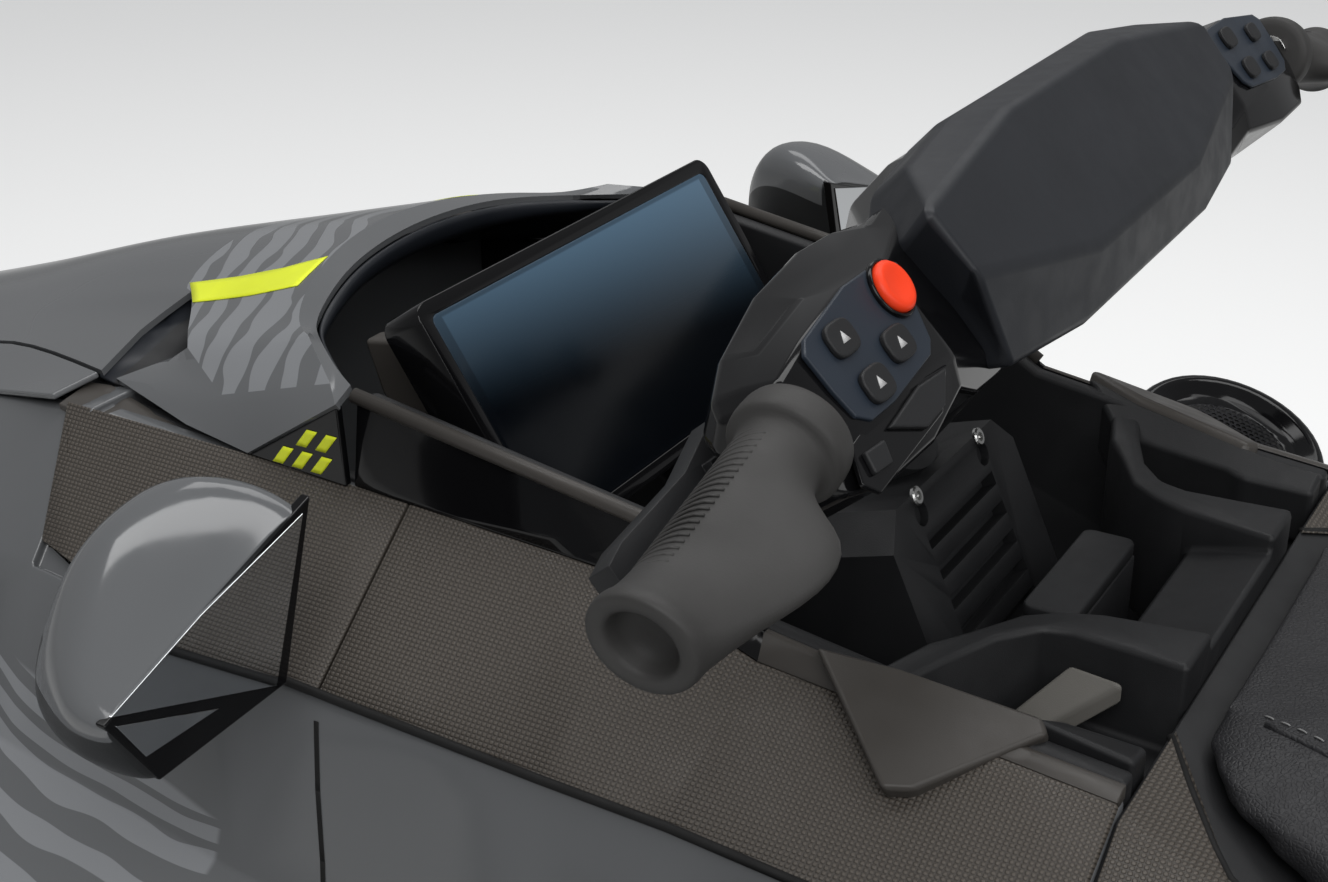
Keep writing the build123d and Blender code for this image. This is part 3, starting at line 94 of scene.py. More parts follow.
class CraftColours(bpy.types.PropertyGroup):
    """Colours of the finishes, in linear light"""

    body: colour_setting("Body", "Gloss of the decks, lid and mirrors", (0.112, 0.116, 0.121))
    stripe: colour_setting("Stripe", "Paler bands in the gloss", (0.215, 0.223, 0.234))
    hull: colour_setting("Hull", "Gloss under the rub rail", (0.05, 0.052, 0.056))
    moulded: colour_setting("Moulded plastic", "Matt cockpit mouldings", (0.0125, 0.0128, 0.0138))
    panel: colour_setting("Side panels", "Dimpled side panels", (0.074, 0.063, 0.052))
    vinyl: colour_setting("Seat vinyl", "Skin of the seats", (0.015, 0.015, 0.0165))
    accent: colour_setting("Accent", "Bare patches and dashes", (0.72, 0.80, 0.03))


class CraftSizes(bpy.types.PropertyGroup):
    """Sizes of what is finished here"""

    dimple: size_setting("Dimple pitch", "Spacing of the panels' dimples", 0.0027, 0.001, 0.02)
    stripe_pitch: size_setting("Stripe pitch", "Spacing of the paler bands", 0.021, 0.01, 0.2)
    lid_wall: size_setting("Lid wall", "Thickness of the front lid", 0.004, 0.001, 0.01)
    film: size_setting("Film", "Thickness of the laid films", 0.0003, 0.0001, 0.001)
    grille_pitch: size_setting("Grille pitch", "Spacing of the grilles' holes", 0.0044, 0.002, 0.01)
    mat_pitch: size_setting("Mat pitch", "Spacing of the mats' lozenges", 0.016, 0.006, 0.05)
    stitch: size_setting("Stitch", "Length of a seat stitch", 0.005, 0.002, 0.01)


def colour(name):
    """A finish's colour with its alpha."""
    return (*getattr(bpy.context.scene.craft_colours, name), 1.0)


def size(name):
    """A size in metres."""
    return getattr(bpy.context.scene.craft_sizes, name)


class Nodes:
    """A node tree that is put together one node at a time."""

    def node(self, kind, inputs=(), **settings):
        """A new node. Each of its inputs is a value, or another node's output."""
        made = self.tree.nodes.new(kind)
        for key, value in settings.items():
            setattr(made, key, value)
        for key, value in dict(inputs).items():
            if isinstance(value, bpy.types.NodeSocket):
                self.tree.links.new(value, made.inputs[key])
            else:
                made.inputs[key].default_value = value
        return made


class Finish(Nodes):
    """A node material."""

    def __init__(self, name):
        self.material = bpy.data.materials.new(name)
        self.material.use_nodes = True
        self.tree = self.material.node_tree
        self.shader = self.tree.nodes["Principled BSDF"]
        self.place = self.tree.nodes.new("ShaderNodeTexCoord").outputs["Object"]

    def set(self, **values):
        """Fixed values of the shader, by the socket's name with _ for a space."""
        for key, value in values.items():
            self.shader.inputs[key.replace("_", " ")].default_value = value
        return self

    def link(self, output, socket):
        """Leads an output to an input of the shader."""
        self.tree.links.new(output, self.shader.inputs[socket])

    def math(self, operation, a, b=0.0):
        return self.node("ShaderNodeMath", {0: a, 1: b}, operation=operation).outputs[0]

    def axes(self):
        """Forward, port and up, in metres from the object's origin."""
        return self.node("ShaderNodeSeparateXYZ", {0: self.place}).outputs

    def noise(self, scale, detail=2.0, roughness=0.5):
        return self.node("ShaderNodeTexNoise", {
            "Vector": self.place, "Scale": scale, "Detail": detail,
            "Roughness": roughness}).outputs["Fac"]

    def ramp(self, value, low, high, out_low=0.0, out_high=1.0):
        """value between low and high, turned to between out_low and out_high."""
        return self.node("ShaderNodeMapRange", {
            "Value": value, "From Min": low, "From Max": high, "To Min": out_low,
            "To Max": out_high},
            interpolation_type="SMOOTHSTEP").outputs["Result"]

    def mix(self, factor, a, b):
        """Colour a where factor is 0, and b where it is 1."""
        made = self.node("ShaderNodeMix", {0: factor, 6: a, 7: b}, data_type="RGBA")
        return made.outputs[2]

    def bump(self, height, depth, under=None):
        """Bump of a height from 0 to 1 that stands depth metres high."""
        made = self.node("ShaderNodeBump", {"Height": height, "Distance": depth})
        if under is not None:
            self.tree.links.new(under, made.inputs["Normal"])
        return made.outputs["Normal"]


# Where the fender's bands start and fade out along the craft, and the line that they keep
# under: its height where they start, and its rise for each metre ahead.
FAN_START = 0.47
FAN_FADE = (0.92, 1.02)
FAN_TOP = 0.495
FAN_RISE = 0.23
# The display's glass: half its width, half its height, its middle's height, and where its painted
# sheen rises.
GLASS_HALF = (0.139, 0.053)
GLASS_MIDDLE = 0.674
GLASS_PAINTED_SHEEN = (0.662, 0.75)


def tinted(shade, by):
    """A colour made lighter or darker by a factor."""
    return (*(c * by for c in shade[:3]), 1.0)


def gloss(name, body, other=None, pattern=None, rough=0.09, level=0.7):
    """Polished plastic, plain or with bands of a second colour."""
    f = Finish(name)
    shade = f.mix(f.ramp(f.noise(2.3), 0.3, 0.7), body, tinted(body, 1.06))
    if other is not None:
        shade = f.mix(pattern(f), shade, other)
    f.link(shade, "Base Color")
    f.link(f.ramp(f.noise(40, 3), 0.2, 0.8, rough, rough + 0.05), "Roughness")
    f.set(Specular_IOR_Level=level)
    return f.material


def waves(f):
    """Broad pale bands with narrow dark ones between them, which wander and taper downwards."""
    x, y, _ = f.axes()
    side = f.math("ABSOLUTE", y)
    wander = f.math("MULTIPLY", f.noise(16, 1), 0.032)
    lean = f.math("MULTIPLY", side, 0.35)
    along = f.math("ADD", f.math("ADD", x, wander), lean)
    phase = f.math("SINE", f.math("MULTIPLY", along, 2 * math.pi / size("stripe_pitch")))
    swell = f.ramp(f.noise(30, 0), 0.3, 0.7, -0.85, 0.1)
    return f.ramp(f.math("SUBTRACT", phase, swell), -0.05, 0.05)


def fan(f):
    """Pale bands that run along the low part of the bow's sides and fan out forwards."""
    x, _, z = f.axes()
    wander = f.math("MULTIPLY", f.noise(6, 1), 0.04)
    fanned = f.math("MULTIPLY", f.math("SUBTRACT", x, 0.1), f.math("SUBTRACT", z, 0.25))
    along = f.math("ADD", f.math("ADD", z, wander), f.math("MULTIPLY", fanned, -0.55))
    phase = f.math("SINE", f.math("MULTIPLY", along, 4 * math.pi / size("stripe_pitch")))
    ahead = f.ramp(f.math("ADD", x, wander), FAN_START, FAN_START + 0.005)
    bands = f.ramp(f.math("SUBTRACT", phase, f.ramp(f.noise(19, 0), 0.3, 0.7, -0.5, 0.4)),
                   -0.06, 0.06)
    edge = f.math("ADD", z, f.math("MULTIPLY", f.math("SUBTRACT", x, FAN_START), -FAN_RISE))
    low = f.ramp(edge, FAN_TOP + 0.002, FAN_TOP - 0.002)
    behind = f.ramp(f.math("ADD", x, wander), FAN_FADE[1], FAN_FADE[0])
    return f.math("MULTIPLY", f.math("MULTIPLY", bands, low), f.math("MULTIPLY", ahead, behind))


def moulded(name, base, rough=0.5, grain=0.00009, scale=1500):
    """Matt moulded plastic with a fine spark-eroded grain."""
    f = Finish(name)
    f.link(f.mix(f.ramp(f.noise(14, 4), 0.3, 0.7), base, tinted(base, 1.18)), "Base Color")
    f.link(f.ramp(f.noise(60, 3), 0.25, 0.75, rough - 0.04, rough + 0.07), "Roughness")
    f.set(Specular_IOR_Level=0.3)
    f.link(f.bump(f.noise(scale, 2, 0.6), grain), "Normal")
    return f.material


def dimpled(name, base):
    """Grip texture of staggered dimples on sloping side panels, with painted shade where it lies
    low and painted light where it stands high.
    """
    f = Finish(name)
    x, y, z = f.axes()
    down = f.math("ADD", f.math("MULTIPLY", f.math("ABSOLUTE", y), 0.63),
                  f.math("MULTIPLY", z, -0.777))
    turn = math.pi / size("dimple")
    dots = f.math("MULTIPLY", f.math("SINE", f.math("MULTIPLY", x, turn)),
                  f.math("SINE", f.math("MULTIPLY", down, turn * 1.15)))
    height = f.ramp(f.math("ABSOLUTE", dots), 0.12, 0.75)
    # Painted shade and light: darker where the texture lies low, lighter where it stands high.
    f.link(f.mix(height, tinted(base, 0.6), tinted(base, 1.1)), "Base Color")
    f.link(f.ramp(f.noise(50, 3), 0.25, 0.75, 0.46, 0.58), "Roughness")
    under = f.bump(f.noise(1500, 2), 0.00006)
    f.link(f.bump(height, 0.0005, under), "Normal")
    return f.material


def metal(name, base, rough, grain=0.00004, scale=700):
    """Cast or brushed metal."""
    f = Finish(name)
    f.link(f.mix(f.ramp(f.noise(22, 4), 0.3, 0.7), base, tinted(base, 0.85)), "Base Color")
    f.set(Metallic=1.0)
    f.link(f.ramp(f.noise(45, 3), 0.25, 0.75, rough - 0.06, rough + 0.08), "Roughness")
    f.link(f.bump(f.noise(scale, 2), grain), "Normal")
    return f.material


def glass_cover(name):
    """Dark cover glass of the display, with a painted bluish sheen towards its top, and a
    soft-edged darker border.
    """
    f = Finish(name)
    _, y, z = f.axes()
    height = f.math("SUBTRACT", z, f.math("MULTIPLY", y, 0.10))
    # Painted sheen: the glass is coloured bluer and lighter towards its top.
    painted_sheen = f.ramp(height, *GLASS_PAINTED_SHEEN)
    off = f.math("ABSOLUTE", f.math("SUBTRACT", z, GLASS_MIDDLE))
    edge = f.math("MINIMUM", f.math("SUBTRACT", GLASS_HALF[0], f.math("ABSOLUTE", y)),
                  f.math("SUBTRACT", GLASS_HALF[1], off))
    inner = f.ramp(edge, 0.0, 0.0012, 0.55, 1.0)
    shade = f.mix(painted_sheen, (0.002, 0.003, 0.0045, 1), (0.09, 0.16, 0.235, 1))
    f.link(f.mix(inner, (0.004, 0.005, 0.007, 1), shade), "Base Color")
    f.link(f.ramp(f.noise(30, 3), 0.2, 0.8, 0.16, 0.22), "Roughness")
    f.set(Specular_IOR_Level=0.22)
    return f.material


def silvered(name):
    """Mirror glass."""
    f = Finish(name)
    f.link(f.mix(f.noise(3), (0.62, 0.64, 0.66, 1), (0.68, 0.7, 0.72, 1)), "Base Color")
    f.set(Metallic=1.0)
    f.link(f.ramp(f.noise(25, 2), 0.2, 0.8, 0.01, 0.03), "Roughness")
    return f.material


def vinyl(name, base):
    """Grained marine vinyl."""
    f = Finish(name)
    cells = f.node("ShaderNodeTexVoronoi", {"Vector": f.place, "Scale": 420.0},
                   feature="DISTANCE_TO_EDGE").outputs["Distance"]
    f.link(f.mix(f.ramp(f.noise(6, 4), 0.3, 0.7), base, tinted(base, 1.25)), "Base Color")
    f.link(f.ramp(f.noise(60, 3), 0.25, 0.75, 0.42, 0.55), "Roughness")
    f.set(Specular_IOR_Level=0.35)
    f.link(f.bump(f.ramp(cells, 0.0, 0.25), 0.00018), "Normal")
    return f.material


FINISHES = {}


def finishes():
    """Makes each finish once, under its name here."""
    FINISHES.update({
        "body_gloss": gloss("gelcoat", colour("body")),
        "striped_gloss": gloss("striped_gelcoat", colour("body"), colour("stripe"), waves),
        "fender_gloss": gloss("fender_gelcoat", colour("body"), colour("stripe"), fan),
        "hull_gloss": gloss("hull_gelcoat", colour("hull")),
        "moulded_black": moulded("mirror_plastic", (0.02, 0.021, 0.022, 1), 0.36, 0.00004),
        "gloss_black": gloss("gloss_trim", (0.004, 0.004, 0.0045, 1), rough=0.07, level=0.3),
        "lining": moulded("lid_lining", (0.012, 0.014, 0.018, 1), 0.38, 0.00003),
        "satin": moulded("satin_plastic", (0.046, 0.042, 0.038, 1), 0.36, 0.00003),
        "dark_matte": moulded("moulded_plastic", colour("moulded")),
        "pad": moulded("pad_skin", (0.016, 0.0175, 0.021, 1), 0.4, 0.00005),
        "plate": moulded("switch_plate", (0.018, 0.024, 0.034, 1), 0.34, 0.00003),
        "textured": dimpled("dimpled_panel", colour("panel")),
        "grip_rubber": moulded("grip_rubber", (0.036, 0.035, 0.034, 1), 0.55, 0.00008, 1100),
        "rub_rubber": moulded("rail_rubber", (0.018, 0.018, 0.019, 1), 0.62, 0.0001, 900),
        "mat_foam": moulded("mat_foam", (0.05, 0.05, 0.052, 1), 0.85, 0.0002, 1600),
        "seat_vinyl": vinyl("seat_vinyl", colour("vinyl")),
        "thread": moulded("seat_thread", (0.2, 0.2, 0.2, 1), 0.7, 0.00005),
        "screen_glass": glass_cover("display_glass"),
        "mirror_glass": silvered("mirror_glass"),
        "aluminium": metal("cast_aluminium", (0.6, 0.61, 0.62, 1), 0.36, 0.00008, 400),
        "steel": metal("stainless_steel", (0.62, 0.62, 0.61, 1), 0.24),
        "dark_steel": metal("perforated_steel", (0.035, 0.035, 0.038, 1), 0.22),
        "start_red": moulded("start_red", (0.8, 0.045, 0.008, 1), 0.4, 0.00003),
        "pocket_pad": moulded("pocket_pad", (0.11, 0.105, 0.095, 1), 0.5),
        "key_mark": moulded("key_mark", (0.45, 0.45, 0.45, 1), 0.4, 0.00002),
        "accent": moulded("accent_film", colour("accent"), 0.35, 0.00002),
        "dark_gap": moulded("dark_gap", (0.006, 0.006, 0.006, 1), 0.7),
    })


def baked(made):
    """A piece's mesh with its modifiers applied."""
    graph = bpy.context.evaluated_depsgraph_get()
    return bpy.data.meshes.new_from_object(made.evaluated_get(graph))


def linked(name, data):
    """A new object of the scene."""
    data.name = name
    made = bpy.data.objects.new(name, data)
    bpy.context.scene.collection.objects.link(made)
    return made


def put(name, mesh, finish, on=None, slot=None, stands_for=()):
    """Links a mesh that is in place as a piece that rides with a node, or else with the hull.
    Its slot argument is not used."""
    made = linked(name, mesh)
    if not mesh.materials:
        for key in finish.split():
            mesh.materials.append(FINISHES[key])
    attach(made, NODES[on]["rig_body"] if on else "root")
    slot or finish.split()[0]
    if stands_for:
        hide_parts(*stands_for)
    return made


def rounded(made, width, segments=3, angle=30.0):
    """Rounds a piece's edges with a bevel that keeps its flats flat. Width in millimetres."""
    bevel = made.modifiers.new("edges", "BEVEL")
    bevel.width = width * MM
    bevel.segments = segments
    bevel.limit_method = "ANGLE"
    bevel.angle_limit = math.radians(angle)
    bevel.harden_normals = True
    bevel.use_clamp_overlap = True
    bevel.miter_outer = "MITER_ARC"
    return made


def softened(made, levels):
    """Subdivides a cage, and keeps its creased edges."""
    soft = made.modifiers.new("surface", "SUBSURF")
    soft.levels = soft.render_levels = levels
    soft.boundary_smooth = "PRESERVE_CORNERS"
    return made


def walled(made, thickness):
    """Gives a sheet its wall, inwards from its faces. Thickness in metres."""
    wall = made.modifiers.new("wall", "SOLIDIFY")
    wall.thickness = thickness
    wall.offset = -1.0
    wall.use_even_offset = True
    return made


def islands(bm):
    """The faces of each connected piece of a mesh."""
    left = set(bm.faces)
    while left:
        reach = [left.pop()]
        found = []
        while reach:
            face = reach.pop()
            found.append(face)
            for edge in face.edges:
                for other in edge.link_faces:
                    if other in left:
                        left.discard(other)
                        reach.append(other)
        yield found


def closed_mesh(bm, up=None):
    """A bmesh as a smooth-shaded mesh, its faces outward, or towards up where it is a sheet."""
    bmesh.ops.recalc_face_normals(bm, faces=bm.faces)
    if up is not None:
        for found in islands(bm):
            if sum(face.normal.dot(up) * face.calc_area() for face in found) < 0:
                bmesh.ops.reverse_faces(bm, faces=found)
    for face in bm.faces:
        face.smooth = True
    mesh = bpy.data.meshes.new("mesh")
    bm.to_mesh(mesh)
    bm.free()
    return mesh


def both_hands(bm):
    """Adds the starboard side of a port bmesh, joined along the middle."""
    both = bm.verts[:] + bm.edges[:] + bm.faces[:]
    bmesh.ops.mirror(bm, geom=both, matrix=Matrix.Identity(4), merge_dist=1e-5, axis="Y")


def cage(points, faces, sharp=(), up=None, corners=""):
    """A mirrored mesh from named port corners in millimetres. A face lists its corners, and may
    add a number for its material. Each chain in sharp lists corners whose edges are creased,
    and corners lists those that are creased themselves."""
    bm = bmesh.new()
    crease = bm.edges.layers.float.new("crease_edge")
    point = bm.verts.layers.float.new("crease_vert")
    corner = {key: bm.verts.new(Vector(place) * MM) for key, place in points.items()}
    for face in faces:
        keys = face.split()
        number = int(keys.pop()) if keys[-1].isdigit() else 0
        made = bm.faces.new([corner[key] for key in keys])
        made.material_index = number
    for chain in sharp:
        keys = chain.split()
        for a, b in zip(keys, keys[1:]):
            bm.edges.get((corner[a], corner[b]))[crease] = 1.0
    for key in corners.split():
        corner[key][point] = 1.0
    both_hands(bm)
    return closed_mesh(bm, up)


def rings(sections, mirrored=False, close=True, caps=True, up=None):
    """A mesh through rings of as many points each, in millimetres."""
    bm = bmesh.new()
    rows = [[bm.verts.new(Vector(p) * MM) for p in ring] for ring in sections]
    count = len(rows[0])
    last = count if close else count - 1
    for low, high in zip(rows, rows[1:]):
        for i in range(last):
            j = (i + 1) % count
            bm.faces.new((low[i], low[j], high[j], high[i]))
    if caps:
        bm.faces.new(rows[-1])
        if caps != "end":
            bm.faces.new(reversed(rows[0]))
    if mirrored:
        both_hands(bm)
    return closed_mesh(bm, up)


def prisms(outlines, shift, mirrored=False):
    """One mesh of closed prisms, from outlines and a shift to their far ends in millimetres."""
    bm = bmesh.new()
    for outline in outlines:
        near = [bm.verts.new(Vector(p) * MM) for p in outline]
        far = [bm.verts.new((Vector(p) + Vector(shift)) * MM) for p in outline]
        bm.faces.new(near)
        bm.faces.new(reversed(far))
        for i, corner in enumerate(near):
            j = (i + 1) % len(near)
            bm.faces.new((near[j], corner, far[i], far[j]))
    if mirrored:
        both_hands(bm)
    return closed_mesh(bm)


def circle(middle, axis, radius, count, start):
    """Points of a circle about an axis, from near the direction start."""
    axis = Vector(axis).normalized()
    first = Vector(start)
    first = (first - axis * first.dot(axis)).normalized()
    second = axis.cross(first)
    return [Vector(middle) + radius * (first * math.cos(a) + second * math.sin(a))
            for a in (2 * math.pi * i / count for i in range(count))]


def turned(middle, axis, profile, caps=True):
    """A turned mesh: profile lists how far along the axis and how far out."""
    axis = Vector(axis).normalized()
    start = axis.orthogonal()
    sections = [circle(Vector(middle) + axis * along, axis, max(out, 0.01), 48, start)
                for along, out in profile]
    return rings(sections, caps=caps)


def joined(meshes, mirrored=False):
    """One mesh of several, which it takes up."""
    bm = bmesh.new()
    for mesh in meshes:
        bm.from_mesh(mesh)
        bpy.data.meshes.remove(mesh)
    if mirrored:
        both_hands(bm)
    return closed_mesh(bm)


def tube(path, radius, count=12):
    """A closed tube with a radius in millimetres along points in millimetres."""
    path = [Vector(p) for p in path]
    sections = []
    start = Vector((0, 0, 1))
    for i, point in enumerate(path):
        ahead = (path[min(i + 1, len(path) - 1)] - path[max(i - 1, 0)]).normalized()
        start = (start - ahead * start.dot(ahead)).normalized()
        sections.append(circle(point, ahead, radius, count, start))
    return rings(sections)


def node_slot(node):
    """The material slot that the record gives a node."""
    return next(p["material_slot"] for p in frame["record"]["subparts"] if p["node"] == node)


def merged(node):
    """A bmesh of a node's mesh, with its loose triangles merged and its flats joined."""
    bm = bmesh.new()
    bm.from_mesh(NODES[node].data)
    bmesh.ops.remove_doubles(bm, verts=bm.verts, dist=2e-6)
    bmesh.ops.dissolve_limit(bm, angle_limit=math.radians(0.5), verts=bm.verts, edges=bm.edges)
    return bm


def dressed(node, width, finish=None, second=None, reshape=None):
    """A merged copy of a node with rounded edges, that stands for it. second gives other faces'
    finish and a test of a face's middle and normal; reshape moves a corner."""
    bm = merged(node)
    if reshape:
        for vert in bm.verts:
            reshape(vert.co)
    names = [finish or node_slot(node)]
    for number, (key, test) in enumerate(second or (), 1):
        names.append(key)
        for face in bm.faces:
            if test(face.calc_center_median() / MM, face.normal):
                face.material_index = number
    made = put(node + "_skin", closed_mesh(bm), " ".join(names), node, node_slot(node), (node,))
    rounded(made, width, 2)


def surface(*objects):
    """Finds points on finished pieces, as a tree of their faces."""
    graph = bpy.context.evaluated_depsgraph_get()
    verts, faces = [], []
    for made in objects:
        mesh = made.evaluated_get(graph).to_mesh()
        first = len(verts)
        verts += [v.co.copy() for v in mesh.vertices]
        faces += [[first + i for i in p.vertices] for p in mesh.polygons]
        made.evaluated_get(graph).to_mesh_clear()
    return BVHTree.FromPolygons(verts, faces)


def laid(name, outlines, onto, away, finish, slot, on=None, cuts=5, lift=0.2):
    """A thin film: outlines in millimetres, laid on a surface along away and lifted off it."""
    away = Vector(away).normalized()
    bm = bmesh.new()
    for outline in outlines:
        bm.faces.new([bm.verts.new(Vector(p) * MM) for p in outline])
    bmesh.ops.triangulate(bm, faces=bm.faces)
    bmesh.ops.subdivide_edges(bm, edges=bm.edges, cuts=cuts, use_grid_fill=True)
    for vert in bm.verts:
        place, *_ = onto.ray_cast(vert.co + away * 0.06, -away, 0.2)
        if place is None:
            raise RuntimeError(f"{name} misses what it lies on at {tuple(vert.co)}")
        vert.co = place + away * lift * MM
    wall = walled(put(name, closed_mesh(bm, away), finish, on, slot), size("film"))
    wall.modifiers["wall"].offset = 1.0


class Pattern(Nodes):
    """A geometry node tree that changes a mesh."""

    def __init__(self, name):
        self.tree = bpy.data.node_groups.new(name, "GeometryNodeTree")
        self.tree.is_modifier = True
        for way in ("INPUT", "OUTPUT"):
            self.tree.interface.new_socket(
                "Geometry", in_out=way, socket_type="NodeSocketGeometry")

    def setting(self, name, kind):
        self.tree.interface.new_socket(name, in_out="INPUT", socket_type=kind)


def repeat_tree():
    """Puts one piece at each point of a mesh, turned as the point's turn says."""
    if "repeat" in bpy.data.node_groups:
        return bpy.data.node_groups["repeat"]
    p = Pattern("repeat")
    p.setting("Piece", "NodeSocketObject")
    p.setting("Scale", "NodeSocketFloat")
    p.setting("Finish", "NodeSocketMaterial")
    given = p.node("NodeGroupInput").outputs
    piece = p.node("GeometryNodeObjectInfo", {"Object": given["Piece"]}).outputs["Geometry"]
    turn = p.node("GeometryNodeInputNamedAttribute", {"Name": "turn"}, data_type="FLOAT_VECTOR")
    rotation = p.node("FunctionNodeEulerToRotation", {0: turn.outputs["Attribute"]})
    placed = p.node("GeometryNodeInstanceOnPoints", {
        "Points": given["Geometry"], "Instance": piece, "Rotation": rotation.outputs[0],
        "Scale": given["Scale"]}).outputs[0]
    real = p.node("GeometryNodeRealizeInstances", {0: placed}).outputs[0]
    done = p.node("GeometryNodeSetMaterial", {
        "Geometry": real, "Material": given["Finish"]}).outputs[0]
    p.node("NodeGroupOutput", {0: done})
    return p.tree


def repeated(name, piece_mesh, places, finish, slot):
    """Copies of one small mesh at places, each a point in metres and its turn as a matrix."""
    points = bpy.data.meshes.new("points")
    points.from_pydata([place for place, turn in places], [], [])
    layer = points.attributes.new("turn", "FLOAT_VECTOR", "POINT")
    for item, (place, turn) in zip(layer.data, places):
        item.vector = turn.to_euler()
    piece = linked(name + "_piece", piece_mesh)
    carrier = linked(name + "_carrier", points)
    pattern = carrier.modifiers.new("repeat", "NODES")
    pattern.node_group = repeat_tree()
    names = {item.name: item.identifier for item in pattern.node_group.interface.items_tree}
    pattern[names["Piece"]] = piece
    pattern[names["Scale"]] = 1.0
    pattern[names["Finish"]] = FINISHES[finish]
    mesh = baked(carrier)
    for made in (piece, carrier):
        bpy.data.objects.remove(made)
    put(name, mesh, finish, slot=slot)


def facing(normal, along=(1, 0, 0)):
    """A turn that takes +Z to a normal and +X near to along."""
    z = Vector(normal).normalized()
    x = Vector(along)
    x = (x - z * x.dot(z)).normalized()
    return Matrix((x, z.cross(x), z)).transposed()


# Port side of the front lid, in millimetres: rim, shoulder, crest, sill of its scoop, fore-deck.
LID = {
    "R0": (443, 204, 696), "RA": (446, 187, 700), "P1": (467, 173, 700), "P2": (500, 146, 701),
    "P3": (513, 134, 702), "P4": (524, 112, 706), "P6": (536, 76, 712), "P7": (542, 40, 715),
    "P8": (545, 0, 716), "Q3": (524, 136, 700.5),
    "Q4": (540, 112, 706), "Q6": (554, 76, 712), "Q7": (562, 40, 716), "Q8": (566, 0, 717.5),
    "E0": (458, 189, 699), "E1": (500, 155, 706), "C1": (546, 178, 669),
    "FL": (597, 148, 676), "B1": (608, 135, 680), "B2": (636, 100, 680), "J": (652, 84, 679),
    "B3": (662, 64, 682), "B4": (668, 40, 688), "B5": (672, 0, 692), "L1": (510, 200, 651),
    "L2": (563, 190, 652), "V": (634, 170, 657), "T": (617, 140, 663), "K1": (550, 153, 690),
    "K2": (560, 140, 690), "K3": (578, 108, 694), "K4": (592, 76, 700), "K5": (603, 40, 706),
    "K6": (606, 0, 709), "A0": (643, 172, 661), "A1": (660, 122, 665), "A2": (663, 100, 668),
}
# The lid ahead of its scoop: each station's corners from the middle outwards.
STATIONS = {
    "G": [(762, 0, 669), (762, 36, 663), (763, 58, 657), (764, 76, 653), (766, 92, 649),
          (768, 108, 645), (772, 122, 641)],
    "H": [(842, 0, 641), (842, 34, 636), (842, 54, 632), (843, 70, 627), (844, 86, 622),
          (845, 100, 617), (846, 112, 611)],
    "I": [(920, 0, 613), (920, 30, 610), (920, 48, 607), (920, 64, 603), (920, 78, 599),
          (920, 94, 594), (920, 108, 588)],
    "M": [(1200, 0, 528), (1200, 25, 527), (1200, 40, 525), (1200, 54, 522), (1200, 66, 518),
          (1200, 76, 513), (1200, 86, 508)],
    "N": [(1478, 0, 446), (1478, 16, 445.5), (1478, 26, 444.5), (1478, 35, 443),
          (1478, 44, 440), (1478, 50, 436.5), (1478, 56, 432)],
}
LID.update({f"{key}{i}": corner for key, row in STATIONS.items() for i, corner in enumerate(row)})
LID_FACES = [
    "R0 RA P1 E0", "E0 P1 P2 E1", "E1 P2 P3", "E0 E1 K1 C1 1", "C1 K1 FL 1", "E1 P3 Q3",
    "E1 Q3 K2 K1 1", "K1 K2 B1 FL 1", "P3 P4 Q4 Q3", "Q3 Q4 K3 K2 1", "K2 K3 B2 B1 1",
    "P4 P6 Q6 Q4", "Q4 Q6 K4 K3 1", "K3 K4 B3 J 1", "K3 J B2 1", "P6 P7 Q7 Q6", "Q6 Q7 K5 K4 1",
    "K4 K5 B4 B3 1", "P7 P8 Q8 Q7", "Q7 Q8 K6 K5 1", "K5 K6 B5 B4 1", "R0 E0 C1 L1",
    "C1 FL T V", "C1 V L2 L1", "B5 B4 G1 G0", "B4 B3 G2 G1", "B3 J G3 G2", "J A2 G4 G3",
    "A2 A1 G5 G4", "A1 A0 G6 G5",
] + [f"{a}{i} {a}{i + 1} {b}{i + 1} {b}{i}" for a, b in ("GH", "HI", "IM", "MN") for i in range(6)]
LID_SHARP = ["R0 E0 E1 Q3 Q4 Q6 Q7 Q8", "E0 C1 FL", "J A2", "R0 L1", "L2 V T FL", "FL B1 B2 J"]
# Outer facet of the lid, from its seam to the deck.
SKIRT = [
    ((645, 173, 660), (652, 203, 655.5)), ((773, 123.6, 640), (762, 171, 624)),
    ((848, 113.4, 610), (848, 159, 599)), ((920, 109.6, 587), (920, 149, 577.5)),
    ((1200, 87.6, 507), (1200, 113, 500.5)), ((1478, 57, 431.6), (1478, 71, 426.5)),
]
SCOOP = {
    "A0": (644, 172, 658), "A1": (661, 122, 662), "A2": (664, 100, 665), "AJ": (656, 84, 674),
    "V0": (638, 168, 653), "V1": (650, 121, 656), "V2": (654, 100, 660), "VJ": (646, 84, 668),
    "F0": (600, 165, 650), "F1": (610, 128, 655), "F2": (630, 100, 662), "FJ": (620, 84, 668),
}
LINING = [
    [(447, 187, 696), (466, 173, 696), (499, 146, 697), (512, 134, 698), (523, 112, 702),
     (535, 76, 708), (541, 40, 711), (544, 0, 712)],
    [(456, 182, 688), (470, 169, 693), (503, 141, 692), (506, 131, 692), (512, 115, 694),
     (527, 79, 694), (537, 48, 692), (543, 0, 691)],
    [(540, 176, 655), (552, 150, 668), (560, 140, 674), (568, 128, 676), (578, 108, 680),
     (592, 76, 686), (603, 40, 690), (606, 0, 690)],
    [(612, 165, 648), (618, 140, 650), (622, 130, 652), (628, 118, 654), (632, 100, 656),
     (640, 76, 658), (648, 40, 660), (650, 0, 662)],
]
SCOOP_FACES = ["A0 A1 V1 V0 1", "A1 A2 V2 V1 1", "A2 AJ VJ V2 1", "V0 V1 F1 F0", "V1 V2 F2 F1",
               "V2 VJ FJ F2"]
LINING_WALL = 0.002


